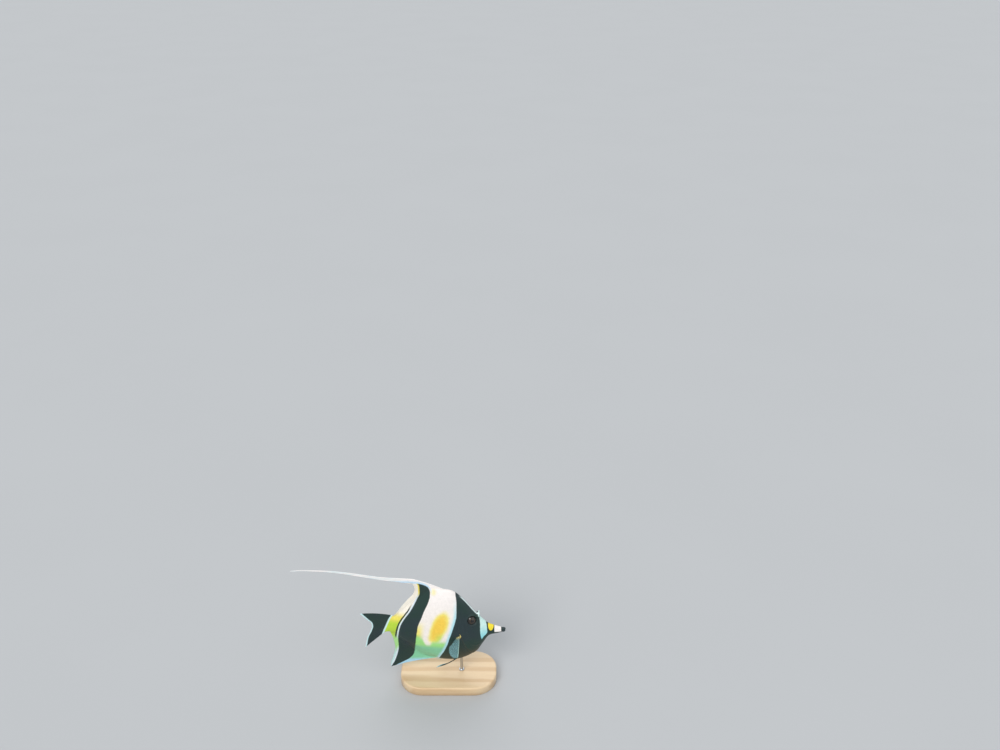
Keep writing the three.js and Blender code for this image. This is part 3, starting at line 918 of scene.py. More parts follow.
def skinMaterial():
    material, tree, inputs = newMaterial("idolSkin", roughness=0.44, coat=0.16, coatRoughness=0.3)
    colour, dark = addMarkings(tree)
    place = objectPlace(tree)
    cells = tree.nodes.new("ShaderNodeTexVoronoi")
    cells.inputs["Scale"].default_value = skinLook["pores"]
    feed(tree, cells.inputs["Vector"], place)
    feed(tree, inputs["Base Color"], colour)
    pores = addBump(tree, cells.outputs["Distance"], skinLook["poreDepth"])
    uneven = addNoise(tree, place, skinLook["unevenness"])
    feed(tree, inputs["Normal"], addBump(tree, uneven, skinLook["unevenDepth"], pores))
    feed(tree, inputs["Roughness"], addRamp(tree, dark, *skinLook["roughness"]))
    return material


def scaleMaterial():
    # each scale is a little lighter or darker than the next, and more so where the skin is dark
    material, tree, inputs = newMaterial("idolScales", roughness=0.42, coat=0.18, coatRoughness=0.28)
    colour, dark = addMarkings(tree)
    own = valueOf(tree, "ownShade")
    more = addMath(tree, "MULTIPLY", dark, addMath(tree, "SUBTRACT", own, skinLook["darkContrast"]))
    feed(tree, inputs["Base Color"], shaded(tree, colour, addMath(tree, "ADD", own, more)))
    feed(tree, inputs["Roughness"], addRamp(tree, own, *skinLook["scaleRoughness"]))
    return material


skinPaint = skinMaterial()
settle(skinPiece, skinPaint, "skin", "head", "trunk", "tail_stalk")
print("skin painted")

# The scales: small plates in staggered rings round the body, each a closed lens that is sunk at
# its front and stands off the skin at its round rear edge
scales = {
    "bodyGap": 0.00098,
    "headGap": 0.00074,
    "ringShare": 0.9,
    "headFrom": 0.62,
    "headFirst": (0.965, -0.04),
    "bodyEnd": 0.999,
    "lengthShare": 1.5,
    "widthShare": 1.16,
    "sizes": (0.92, 1.1),  # drawn for each scale, as lifts and shades are
    "lift": 0.00007,
    "lifts": (0.75, 1.25),
    "sink": 0.00005,
    "crown": 0.00003,
    "rimTaper": 0.25,
    "shades": (0.965, 1.02),
    "jitter": 0.09,
    "steepest": 0.93,
    "clearOfEye": 0.0073,
    "eyeBehind": 0.004,
    "clearOfHorn": 0.002,
    "clearOfNostril": 0.0015,
    "clearOfGill": 0.00075,
    "gillSpan": (-0.35, 0.13),
    "frontEnd": 0.952,
    "rearEnd": 0.012,
    "patch": 0.003,
    "seed": 8,
}
rimCount = 8  # points round the rim of a scale; its top and its bottom follow them
rimTurn = np.arange(rimCount) * 2 * math.pi / rimCount
rimAlong = 0.5 * np.cos(rimTurn)
rimAcross = 0.5 * np.sin(rimTurn) * (1 + scales["rimTaper"] * np.cos(rimTurn))


def wayAlong(points):
    # how far each point of a line lies from its first
    return np.concatenate([[0], np.cumsum(length(np.diff(points, axis=0)))])


def scaleSeats(start, end, gap, side, draw):
    # rings a share of the gap apart along the flank, and seats a gap apart round each ring, half a
    # gap further on in every other one
    t = np.linspace(start, end, 1200)
    way = wayAlong(bareBody(t, np.full_like(t, math.pi / 2)))
    rings = np.interp(np.arange(0, way[-1], gap * scales["ringShare"]), way, t)
    angle = np.linspace(0, math.pi, 300)
    ringPoints = skinSurface(*np.meshgrid(rings, angle, indexing="ij"))
    seats = []
    for number, (ring, points) in enumerate(zip(rings, ringPoints)):
        around = wayAlong(points)
        count = max(4, int(around[-1] / gap))
        place = (np.arange(count) + 0.25 + 0.5 * (number % 2)) / count * around[-1]
        place += draw.uniform(-1, 1, count) * scales["jitter"] * gap
        seats.append(np.stack([np.full(count, ring), np.interp(place, around, angle)], -1))
    seats = np.concatenate(seats)
    return seats[:, 0], seats[:, 1] if side > 0 else 2 * math.pi - seats[:, 1]


def keepSeats(t, angle):
    # no scale sits at either end or on an eye, a horn, a nostril or the gill cover's edge
    bare = bareBody(t, angle)
    x, z = inShares(bare)
    keep = (x < scales["frontEnd"]) & (x > scales["rearEnd"])
    for centre, outward in eyes.values():
        depth, away = fromEye(bare, centre, outward)
        keep &= (away > scales["clearOfEye"]) | (depth < -scales["eyeBehind"])
    cleared = [(*head["hornAt"], scales["clearOfHorn"])]
    cleared += [(px, pz, scales["clearOfNostril"]) for px, pz, _ in head["nostrils"]]
    for px, pz, clear in cleared:
        keep &= np.hypot(x - px, z - pz) * body["length"] > clear
    low, high = scales["gillSpan"]
    keep &= (lineDistance(x, z, head["gillLine"]) > scales["clearOfGill"]) | (z > high) | (z < low)
    return t[keep], angle[keep]


def sharpenRims(piece):
    # the two faces of a lens are shaded apart, so the edges between two points of its rim are sharp
    ends = np.empty(len(piece.data.edges) * 2, np.int32)
    piece.data.edges.foreach_get("vertices", ends)
    onRim = ends.reshape(-1, 2) % (rimCount + 2) < rimCount
    piece.data.edges.foreach_set("use_edge_sharp", onRim.all(1))


def addScales(name, start, end, gap, side, material, step=1e-3):
    # each rim is an ellipse, wider at the rear, that rises from the sunk front to the lifted rear
    draw = np.random.default_rng(scales["seed"] + side)
    t, angle = keepSeats(*scaleSeats(start, end, gap, side, draw))
    seat = skinSurface(t, angle)
    rear = unit(skinSurface(np.minimum(t + step, 1), angle) - skinSurface(t - step, angle))
    across = skinSurface(t, angle + step) - skinSurface(t, angle - step)
    outward = unit(np.cross(across, rear))
    # none is set where the skin of the head turns steeply, as in the mouth
    calm = (outward * facing(bareBody, t, angle)).sum(-1) > scales["steepest"]
    calm |= inShares(seat)[0] < scales["headFrom"]
    t, angle, seat, rear, outward = t[calm], angle[calm], seat[calm], rear[calm], outward[calm]
    sideways = np.cross(outward, rear)
    size = gap * draw.uniform(*scales["sizes"], len(t))
    longWay = (rear * (size * scales["lengthShare"])[:, None])[:, None]
    wideWay = (sideways * (size * scales["widthShare"])[:, None])[:, None]
    lift = scales["lift"] * (gap / scales["bodyGap"]) * draw.uniform(*scales["lifts"], len(t))
    height = lift[:, None] * (0.5 + rimAlong) - scales["sink"] * (0.5 - rimAlong)
    middle = 0.5 * (lift - scales["sink"])
    rim = seat[:, None] + longWay * rimAlong[:, None] + wideWay * rimAcross[:, None]
    rim = rim + outward[:, None] * height[..., None]
    top = seat + outward * (middle + scales["crown"])[:, None]
    bottom = seat + outward * (middle - scales["crown"])[:, None]
    points = np.concatenate([rim, top[:, None], bottom[:, None]], 1)
    ring = np.arange(rimCount)
    following = (ring + 1) % rimCount
    lens = np.concatenate([
        np.stack([ring, following, np.full(rimCount, rimCount)], -1),
        np.stack([following, ring, np.full(rimCount, rimCount + 1)], -1),
    ])
    faces = (np.arange(len(t))[:, None, None] * (rimCount + 2) + lens).reshape(-1, 3)
    piece = addMesh(name, points, outwards(points, faces))
    # each scale's patch lies at its root's place on the unwrapped side
    turnShare = (angle if side > 0 else 2 * math.pi - angle) / math.pi
    middleUv = insideMap(np.stack([t, turnShare], -1))
    patch = np.vstack([np.stack([rimAlong, rimAcross], -1), np.zeros((2, 2))]) * scales["patch"]
    uv = (middleUv[:, None] + patch[None]).reshape(-1, 2)
    addMap(piece, "OFBake", uv[cornerIndex(piece)])
    sharpenRims(piece)
    addValue(piece, "ownShade", np.repeat(draw.uniform(*scales["shades"], len(t)), rimCount + 2))
    settle(piece, material, "skin")
    print(name, "shaped:", len(faces), "faces")


scalePaint = scaleMaterial()
headStart, headEnd = findOnFlank(*scales["headFirst"])[0], findOnFlank(scales["headFrom"], 0.0)[0]
for sideName, side in (("Left", 1), ("Right", -1)):
    addScales("headScales" + sideName, headStart, headEnd, scales["headGap"], side, scalePaint)
    addScales("bodyScales" + sideName, headEnd, scales["bodyEnd"], scales["bodyGap"], side, scalePaint)


# The fins: thin closed sheets, u across the rays and v from the root to the tip of each ray
rays = {
    "spineWidth": 0.26,
    "width": 0.24,
    "narrowing": 0.13,
    "narrowingSpan": (0.3, 0.85),
    "fork": 0.25,
    "forkSpan": (0.38, 0.8),
    "secondFork": 0.11,
    "secondForkSpan": (0.72, 1.0),
}


def addSheet(name, middle, outward, half, uv, values):
    # two faces a half thickness either side of the middle surface, joined all round the rim
    rows, columns, _ = middle.shape
    offset = outward * half[..., None]
    points = np.concatenate([(middle + offset).reshape(-1, 3), (middle - offset).reshape(-1, 3)])
    near = gridFaces(rows, columns, False)
    count = rows * columns
    grid = np.arange(count).reshape(rows, columns)
    rim = np.concatenate([grid[0], grid[1:, -1], grid[-1, -2::-1], grid[-2:0:-1, 0]])
    following = np.roll(rim, -1)
    edge = np.stack([following, rim, rim + count, following + count], -1)
    piece = addMesh(name, points, outwards(points, near, near[:, ::-1] + count, edge))
    both = np.concatenate([uv.reshape(-1, 2)] * 2)
    addMap(piece, "finMap", both[cornerIndex(piece)])
    for valueName, value in values.items():
        addValue(piece, valueName, np.concatenate([value.ravel()] * 2))
    return piece


def rayProfile(u, v, count, spines, draw):
    # 0 on the web and 1 on a ray: a bell across each ray, which forks once halfway out and once
    # more near its tip, where the first few spines stay whole
    place = np.clip(u * count, 0, count - 1e-6)
    number = place.astype(int)
    across = place - number - 0.5
    whole = number < spines
    fork = np.where(whole, 0, rays["fork"] * ease(v, *rays["forkSpan"]))
    again = np.where(whole, 0, rays["secondFork"] * ease(v, *rays["secondForkSpan"]))
    soft = rays["width"] - rays["narrowing"] * ease(v, *rays["narrowingSpan"])
    width = np.where(whole, rays["spineWidth"], soft)
    made = np.zeros_like(across)
    for first in (-1, 1):
        for second in (-1, 1):
            made = np.maximum(made, bell(across - first * fork - second * again, width))
    return made, draw.uniform(-1, 1, count)[number]


def quadraticRays(root, tip, bow, v):
    # each ray is a curve from its root to its tip, drawn towards a point beside its middle
    control = 0.5 * (root + tip) + bow
    v = v[..., None]
    return (1 - v) ** 2 * root + 2 * v * (1 - v) * control + v**2 * tip


# What all fins share. Each fin's own values follow below: its reach and span are its size along
# and across the rays
anyFin = {
    "sunk": 0.003,
    "fullAt": 0.0075,  # the body's half thickness at which a fin's root is at its full size
    "crowding": 0.9,  # rows lie closer together towards the margin, where the rays fork
    "notchFrom": 0.9,
    "unevenFrom": 0.7,
    "waveLean": 0.35,
    "webTaper": 0.5,
    "shortRay": 0.022,  # rays under this length have lower ridges
    "leastSwell": 0.2,
    "marginFrom": 0.965,
    "marginThinning": 0.55,
}


def slim(root):
    # the half thickness of the body at the fin's root over that of fullAt, and at most 1
    x, _ = inShares(root)
    t = np.linspace(0, 1, 400)
    alongX = 0.5 * (through(body["back"], t) + through(body["belly"], t))[:, 0]
    return np.minimum(1, np.interp(-x, -alongX, halfThickness(t)) / anyFin["fullAt"])


def addFin(name, values, rootPoints, node, material, slotName):
    # u picks the ray and v the way out along it. The sheet is as thick as its web, thicker by a
    # ridge on each ray and by a bell at the root, and waves sideways by a sine that grows as v squared
    draw = np.random.default_rng(values["seed"])
    uSteps = np.linspace(0, 1, values["rays"] * values["perRay"] + 1)
    u, v = np.meshgrid(uSteps, np.linspace(0, 1, values["rows"]) ** anyFin["crowding"])
    high, longer = rayProfile(u, v, values["rays"], values["spines"], draw)
    # the web is cut back a little between the rays at the margin
    notch = values["notch"] * (1 - high) * ease(v, anyFin["notchFrom"], 1)
    outV = v * (1 - notch - values["uneven"] * longer * ease(v, anyFin["unevenFrom"], 1))
    bow = np.array(values["bow"]) * ((1 - u) ** values["bowFade"])[..., None]
    place = quadraticRays(rootPoints(u), through(values["tips"], u), bow, outV)
    if place.shape[-1] == 2:
        turns = values["waves"] * u + anyFin["waveLean"] * v + values["phase"]
        y = bend(place[..., 0]) + values["wave"] * v**2 * np.sin(2 * math.pi * turns)
    else:
        y = place[..., 2]
    middle = fromShares(place[..., 0], y, place[..., 1])
    outward = unit(np.cross(np.gradient(middle, axis=1), np.gradient(middle, axis=0)))
    rayLength = length(middle[-1] - middle[0])
    web = values["web"] * (1 - anyFin["webTaper"] * v)
    ridge = (values["ray"] * (1 - values["taper"] * v) - web) * ease(rayLength, 0.0, anyFin["shortRay"])
    thin = slim(middle[0])
    swellReach = values["swellReach"] * (anyFin["leastSwell"] + (1 - anyFin["leastSwell"]) * thin)
    half = 0.5 * (web + ridge * high + values["rootSwell"] * thin * bell(v * rayLength, swellReach))
    half *= 1 - anyFin["marginThinning"] * ease(v, anyFin["marginFrom"], 1)
    half *= 1 - values["stalkThinning"] * (1 - thin)
    away = np.minimum((1 - v) * values["reach"], u * values["span"])
    uv = np.stack([u, v], -1)
    shown = {"ray": high, "toEdge": away * 1000}  # toEdge is in millimetres
    sides = ((1, "Left", "_left"), (-1, "Right", "_right")) if values["paired"] else ((1, "", ""),)
    for side, label, suffix in sides:
        flip = np.array([1, side, 1])
        piece = addSheet(name + label, middle * flip, outward * flip, half, uv, shown)
        settle(piece, material, slotName, node + suffix)
    print(name, "shaped")


def edgeOfBody(line, low, high, toward):
    # the fin's root: points of the back or belly line, sunk towards the other one
    def rootPoints(u):
        t = low + (high - low) * u
        on, other = through(body[line], t), through(body[toward], t)
        return on + unit(other - on) * anyFin["sunk"] / body["length"]
    return rootPoints


def straightRoot(points):
    return lambda u: through(points, u)


longFin = {
    "bowFade": 1, "perRay": 8, "ray": 0.00105, "web": 0.00042, "taper": 0.55,
    "rootSwell": 0.003, "swellReach": 0.009, "stalkThinning": 0.5,
    "notch": 0.011, "uneven": 0.002, "wave": 0.0006, "reach": 0.05, "paired": False,
}
dorsal = {
    **longFin,
    "rootSpan": (0.585, 0.95),  # where its root starts and ends along the back line
    "tips": [
        (0.185, 0.497), (0.195, 0.466), (0.232, 0.436), (0.243, 0.385), (0.228, 0.332),
        (0.186, 0.282), (0.14, 0.225), (0.108, 0.18), (0.083, 0.143), (0.06, 0.112),
    ],
    "bow": (-0.03, 0.044), "rays": 48, "spines": 7, "rows": 84,
    "waves": 1.6, "phase": 0.1, "span": 0.09, "seed": 3,
}
anal = {
    **longFin,
    "rootSpan": (0.64, 0.93),  # and along the belly line
    "tips": [
        (0.008, -0.436), (0.014, -0.385), (0.032, -0.333), (0.047, -0.277), (0.057, -0.222),
        (0.053, -0.17), (0.042, -0.118), (0.022, -0.057),
    ],
    "bow": (0.0, 0.02), "rays": 36, "spines": 3, "rows": 72,
    "waves": 1.4, "phase": 0.4, "span": 0.07, "seed": 4,
}
caudal = {
    "root": [(0.05, 0.118), (0.022, 0.034), (-0.01, -0.042)],
    "tips": [
        (-0.222, 0.155), (-0.17, 0.096), (-0.136, 0.054), (-0.129, 0.008), (-0.145, -0.045),
        (-0.175, -0.108), (-0.195, -0.205),
    ],
    "bow": (0.0, 0.018), "bowFade": 2, "rays": 18, "spines": 0, "perRay": 14, "rows": 90,
    "ray": 0.0012, "web": 0.00045, "taper": 0.6,
    "rootSwell": 0.0008, "swellReach": 0.003, "stalkThinning": 0,
    "notch": 0.012, "uneven": 0.003, "wave": 0.0007, "waves": 1.3, "phase": 0.2,
    "reach": 0.028, "span": 0.06, "seed": 5, "paired": False,
}


def sidePoint(x, z):
    # how far the bare flank stands from the middle at this x and z
    t, angle = findOnFlank(x, z)
    return bareBody(np.array([t]), np.array([angle]))[0, 1]


pairedFin = {
    "bowFade": 0, "spines": 1, "rows": 80, "swellReach": 0.003, "stalkThinning": 0, "paired": True,
}
pectoralAt = (0.604, -0.04)
pectoralRoot = sidePoint(*pectoralAt) - anyFin["sunk"]
pectoral = {
    **pairedFin,
    "root": [(0.61, -0.022, pectoralRoot), (0.603, -0.04, pectoralRoot), (0.593, -0.058, pectoralRoot)],
    "tips": [
        (0.602, -0.196, pectoralRoot + 0.017), (0.567, -0.202, pectoralRoot + 0.017),
        (0.54, -0.184, pectoralRoot + 0.0155), (0.526, -0.153, pectoralRoot + 0.0135),
        (0.529, -0.117, pectoralRoot + 0.011),
    ],
    "bow": (0.008, 0.01, 0.0035), "rays": 18, "perRay": 12,
    "ray": 0.00062, "web": 0.00022, "taper": 0.55, "rootSwell": 0.0005,
    "notch": 0.016, "uneven": 0.004, "reach": 0.025, "span": 0.012, "seed": 6,
}
pelvic = {
    **pairedFin,
    "root": [(0.594, -0.333, 0.003), (0.583, -0.333, 0.003), (0.57, -0.333, 0.003)],
    "tips": [(0.398, -0.412, 0.0082), (0.43, -0.396, 0.0064), (0.475, -0.383, 0.0054)],
    "bow": (0.004, -0.024, 0.0012), "rays": 6, "perRay": 14,
    "ray": 0.00095, "web": 0.00035, "taper": 0.6, "rootSwell": 0.0008,
    "notch": 0.03, "uneven": 0.006, "reach": 0.028, "span": 0.008, "seed": 7,
}
finLook = {
    "fibres": 900.0,
    "jointsFrom": (0.2, 0.5),
    "bandedJoints": (46, 0.00006),  # how many joints a ray has, and how deep they look
    "tailJoints": (40, 0.00006),
    "clearJoints": (40, 0.00004),
    "pelvicJoints": (30, 0.00006),
    "web": (0.0, 0.6, 0.88, 1.0),
    "edge": (0.75, 0.35),
    "edgeWherePale": (0.4, 0.1),
    "edgeShare": 0.3,
    "edgeTint": paint(120, 190, 190),
    "tailWander": (300.0, 0.02),
    "tailMargin": (0.925, 0.955),
    "tailMarginTint": paint(204, 238, 240),
    "tailEdge": (0.985, 1.0),
    "tailEdgeTint": paint(236, 246, 244),
    "clearWeb": paint(96, 150, 156),
    "clearRay": paint(132, 178, 182),
    "clearCover": (0.2, 0.8, 0.26, 0.62),
    "frontRay": (0.07, 0.03),
    "frontCover": 0.9,
    "frontTint": paint(160, 196, 186),
    "clearRoot": (0.3, 0.1),
    "pelvicStreak": 0.12,
    "pelvicPale": (0.8, 1.05),
    "pelvicTint": paint(170, 205, 205),
}


def rayBump(tree, joints, depth, fibrous):
    # fine joints across the soft rays, as a wave along v, and fibres in the thicker fins
    _, v = mapOf(tree, "finMap")
    wave = addMath(tree, "SINE", addMath(tree, "MULTIPLY", v, joints * 2 * math.pi))
    onRays = addMath(tree, "MULTIPLY", wave, valueOf(tree, "ray"))
    height = addMath(tree, "MULTIPLY", onRays, addRamp(tree, v, *finLook["jointsFrom"]))
    if fibrous:
        height = addMath(tree, "ADD", height, addNoise(tree, objectPlace(tree), finLook["fibres"]))
    return addBump(tree, height, depth)


def bandedFinMaterial():
    # the body's markings run on over the fin, deeper on the web, with a faint edge where it is pale
    material, tree, inputs = newMaterial("bandedFin", roughness=0.46, coat=0.08, coatRoughness=0.35)
    colour, dark = addMarkings(tree)
    atEdge = addRamp(tree, valueOf(tree, "toEdge"), *finLook["edge"])
    edge = addMath(tree, "MULTIPLY", atEdge, addRamp(tree, dark, *finLook["edgeWherePale"]))
    edge = addMath(tree, "MULTIPLY", edge, finLook["edgeShare"])
    colour = addMix(tree, edge, colour, finLook["edgeTint"])
    web = addRamp(tree, valueOf(tree, "ray"), *finLook["web"])
    feed(tree, inputs["Base Color"], shaded(tree, colour, web))
    feed(tree, inputs["Normal"], rayBump(tree, *finLook["bandedJoints"], fibrous=True))
    return material


def tailFinMaterial():
    # black, with a pale line over the root and a pale margin behind
    material, tree, inputs = newMaterial("tailFin", roughness=0.46, coat=0.08, coatRoughness=0.35)
    colour, _ = addMarkings(tree)
    _, v = mapOf(tree, "finMap")
    size, reach = finLook["tailWander"]
    wander = addMath(tree, "MULTIPLY", addNoise(tree, objectPlace(tree), size), reach)
    margin = addRamp(tree, addMath(tree, "ADD", v, wander), *finLook["tailMargin"])
    colour = addMix(tree, margin, colour, finLook["tailMarginTint"])
    colour = addMix(tree, addRamp(tree, v, *finLook["tailEdge"]), colour, finLook["tailEdgeTint"])
    feed(tree, inputs["Base Color"], colour)
    feed(tree, inputs["Normal"], rayBump(tree, *finLook["tailJoints"], fibrous=True))
    return material


def clearFinMaterial():
    # bluish grey and see-through between the rays, with a pale front ray and a yellowish root
    material, tree, inputs = newMaterial("clearFin", roughness=0.32, coat=0.15, coatRoughness=0.2)
    u, v = mapOf(tree, "finMap")
    ray = valueOf(tree, "ray")
    front = addRamp(tree, u, *finLook["frontRay"])
    root = addRamp(tree, v, *finLook["clearRoot"])
    colour = addMix(tree, ray, finLook["clearWeb"], finLook["clearRay"])
    colour = addMix(tree, front, colour, finLook["frontTint"])
    colour = addMix(tree, root, colour, markings["colours"]["finYellow"])
    feed(tree, inputs["Base Color"], colour)
    covered = addRamp(tree, ray, *finLook["clearCover"])
    covered = addMath(tree, "MAXIMUM", covered, addMath(tree, "MULTIPLY", front, finLook["frontCover"]))
    feed(tree, inputs["Alpha"], addMath(tree, "MAXIMUM", covered, root))
    feed(tree, inputs["Normal"], rayBump(tree, *finLook["clearJoints"], fibrous=False))
    return material


def pelvicFinMaterial():
    # black, turning pale at the tip, first along the rays
    material, tree, inputs = newMaterial("pelvicFin", roughness=0.44, coat=0.1, coatRoughness=0.3)
    _, v = mapOf(tree, "finMap")
    streak = addMath(tree, "MULTIPLY", valueOf(tree, "ray"), finLook["pelvicStreak"])
    pale = addRamp(tree, addMath(tree, "ADD", v, streak), *finLook["pelvicPale"])
    colour = addMix(tree, pale, markings["colours"]["black"], finLook["pelvicTint"])
    feed(tree, inputs["Base Color"], colour)
    feed(tree, inputs["Normal"], rayBump(tree, *finLook["pelvicJoints"], fibrous=False))
    return material


bandedPaint = bandedFinMaterial()
dorsalRoot = edgeOfBody("back", *dorsal["rootSpan"], "belly")
analRoot = edgeOfBody("belly", *anal["rootSpan"], "back")
addFin("dorsalFin", dorsal, dorsalRoot, "dorsal_fin", bandedPaint, "fin")
addFin("analFin", anal, analRoot, "anal_fin", bandedPaint, "fin")
addFin("caudalFin", caudal, straightRoot(caudal["root"]), "caudal_fin", tailFinMaterial(), "fin")
clearPaint = clearFinMaterial()
addFin("pectoralFin", pectoral, straightRoot(pectoral["root"]), "pectoral_fin", clearPaint, "clear_fin")
addFin("pelvicFin", pelvic, straightRoot(pelvic["root"]), "pelvic_fin", pelvicFinMaterial(), "fin")

# The streamer: the long third spine of the back fin. It runs up the fin's front edge and trails
# behind as a flat ribbon that thins to a thread
streamer = {
    "path": [
        (0.1, 0.4835, -0.0006), (-0.05, 0.505, -0.0014), (-0.32, 0.553, -0.001),
        (-0.49, 0.565, 0.0006), (-0.66, 0.568, 0.0014), (-0.77, 0.566, 0.0008),
    ],
    "ridden": 0.86,
    "frontPoints": 5,
    "frontInset": 0.9,
    "rows": 420,
    "columns": 44,
    "rootHeight": 0.0007,
    "fullHeight": 0.0038,
    "tipHeight": 0.00045,
    "rootPower": 0.8,
    "tipPower": 1.7,
    "halfThickness": 0.00062,
    "tipThickness": 0.0003,
    "aloneFrom": 0.12,
    "lowerPower": 0.6,
    "flatness": 0.66,
    "ripple": (0.08, 9),
    "spineSwell": 0.00024,
    "spineAt": 0.84,
    "spineReach": 0.18,
    "spineTaper": 0.6,
    "streaks": (40, 900, 900),
    "streakDepth": 0.00008,
    "blue": (0.35, 0.7, 0.0, 0.8),
    "blueFrom": (-0.04, -0.09),
    "blueTint": paint(206, 230, 234),
}


def streamerKnots():
    # down the back fin's own front ray, set in by the ribbon's half height, then the free path
    steps = np.linspace(0, 1, streamer["frontPoints"])
    start = np.zeros_like(steps)
    root, tip = dorsalRoot(start), through(dorsal["tips"], start)
    front = quadraticRays(root, tip, np.array(dorsal["bow"]), steps * streamer["ridden"])
    tall = blend(streamer["rootHeight"], streamer["fullHeight"], steps ** streamer["rootPower"])
    lean = unit(np.gradient(front, axis=0))
    inward = np.stack([lean[:, 1], -lean[:, 0]], -1)
    inward *= np.sign(-inward[:, 1:])
    front = front + inward * (tall * streamer["frontInset"] / body["length"])[:, None]
    return np.vstack([np.column_stack([front, start]), streamer["path"]])


def addStreamer(material):
    knots = streamerKnots()
    v = np.linspace(0, 1, streamer["rows"])
    path = through(knots, v)
    middle = fromShares(path[:, 0], path[:, 2], path[:, 1])
    along = unit(np.gradient(middle, axis=0))
    side = np.array([0.0, 1.0, 0.0])
    up = unit(np.cross(along, side))
    up *= np.sign(up[:, 2:])
    # how much of the fin's edge it has come along, and how much of the free path
    last = streamer["frontPoints"] - 1
    place = v * (len(knots) - 1)
    ridden = np.clip(place / last, 0, 1)
    free = np.clip((place - last) / (len(knots) - 1 - last), 0, 1)
    tall = blend(streamer["rootHeight"], streamer["fullHeight"], ridden ** streamer["rootPower"])
    trail = blend(streamer["tipHeight"], streamer["fullHeight"], (1 - free) ** streamer["tipPower"])
    tall = np.minimum(tall, trail)
    thick = blend(streamer["tipThickness"], streamer["halfThickness"], 1 - free)[:, None]
    # each ring runs from the upper edge (share 1) to the lower (-1) and back. On the fin the ribbon
    # thins to nothing at its lower edge, and the spine swells near the upper one
    ring = np.linspace(0, 2 * math.pi, streamer["columns"], endpoint=False)
    share = np.cos(ring)[None, :]
    alone = ease(free, 0.0, streamer["aloneFrom"])[:, None]
    lower = np.clip(0.5 + 0.5 * share, 0, 1) ** streamer["lowerPower"]
    rippleHeight, rippleTurns = streamer["ripple"]
    flat = streamer["flatness"] + rippleHeight * np.cos(share * rippleTurns)
    half = thick * flat * blend(lower, 1, alone)
    spine = streamer["spineSwell"] * bell(share - streamer["spineAt"], streamer["spineReach"])
    half += spine * (1 - streamer["spineTaper"] * free[:, None])
    half *= np.sqrt(np.clip(1 - share**6, 0, 1))
    grid = middle[:, None] + up[:, None] * (tall[:, None] * share)[..., None]
    grid = grid + side * (np.sign(np.sin(ring))[None] * half)[..., None]
    settle(addTube("streamer", grid), material, "streamer", "dorsal_streamer")


def streamerMaterial():
    # the markings, with faint blue streaks along the free part
    material, tree, inputs = newMaterial("streamerWhite", roughness=0.4, coat=0.12, coatRoughness=0.3)
    grain = addNoise(tree, mapped(tree, streamer["streaks"]), 1.0)
    x, _, _ = parted(tree, objectPlace(tree))
    trailing = addRamp(tree, x, *streamer["blueFrom"])
    blue = addMath(tree, "MULTIPLY", addRamp(tree, grain, *streamer["blue"]), trailing)
    colour, _ = addMarkings(tree)
    feed(tree, inputs["Base Color"], addMix(tree, blue, colour, streamer["blueTint"]))
    feed(tree, inputs["Normal"], addBump(tree, grain, streamer["streakDepth"]))
    return material


addStreamer(streamerMaterial())
print("streamer shaped")

# The eyes: flattened balls, dark, with a thin gold ring round the pupil. The rings of the eye are
# shares of its radius
eyeLook = {
    "rows": 56,
    "columns": 72,
    "poleGap": 0.02,
    "mapShare": 0.25,  # the eye's radius on its own map
    "bulge": 0.0004,
    "bulgeReach": 0.5,
    "pupilEdge": (0.45, 0.465),
    "goldEdge": (0.485, 0.52),
    "rimEdge": (0.9, 0.99),
    "streaks": 46.0,
    "streakShare": 0.12,
    "mottleNoise": (1500.0, 3.0),
    "irisStreaks": (0.35, 0.7),
    "pupil": paint(4, 4, 5),
    "iris": (paint(16, 14, 12), paint(34, 26, 20)),
    "gold": (paint(90, 66, 34), paint(114, 88, 44)),
    "rim": paint(12, 14, 14),
}


def addEye(name, side, node, material):
    # a ball stretched from the eye's own middle, with a slightly fuller window over the pupil
    centre, outward = eyes[side]
    first = unit(np.cross(outward, (0.0, 0.0, 1.0)))
    second = np.cross(outward, first)
    down = np.linspace(eyeLook["poleGap"], math.pi - eyeLook["poleGap"], eyeLook["rows"])
    turn = np.linspace(0, 2 * math.pi, eyeLook["columns"], endpoint=False)
    polar, around = np.meshgrid(down, turn, indexing="ij")
    deep = head["eyeDepth"] * np.cos(polar) + eyeLook["bulge"] * bell(polar, eyeLook["bulgeReach"])
    wide = head["eyeRadius"] * np.sin(polar)
    grid = centre + deep[..., None] * outward
    grid = grid + (wide * np.cos(around))[..., None] * first + (wide * np.sin(around))[..., None] * second
    piece = addTube(name, grid)
    # the map is the eye seen from in front, with both poles in its middle
    out = np.sin(polar) * np.where(polar < math.pi / 2, 1, 2 - np.sin(polar))
    flat = np.stack([out * np.cos(around), out * np.sin(around)], -1).reshape(-1, 2)
    flat = np.vstack([flat, np.zeros((2, 2))])
    addMap(piece, "eyeMap", (0.5 + eyeLook["mapShare"] * flat)[cornerIndex(piece)])
    settle(piece, material, "eye", node)


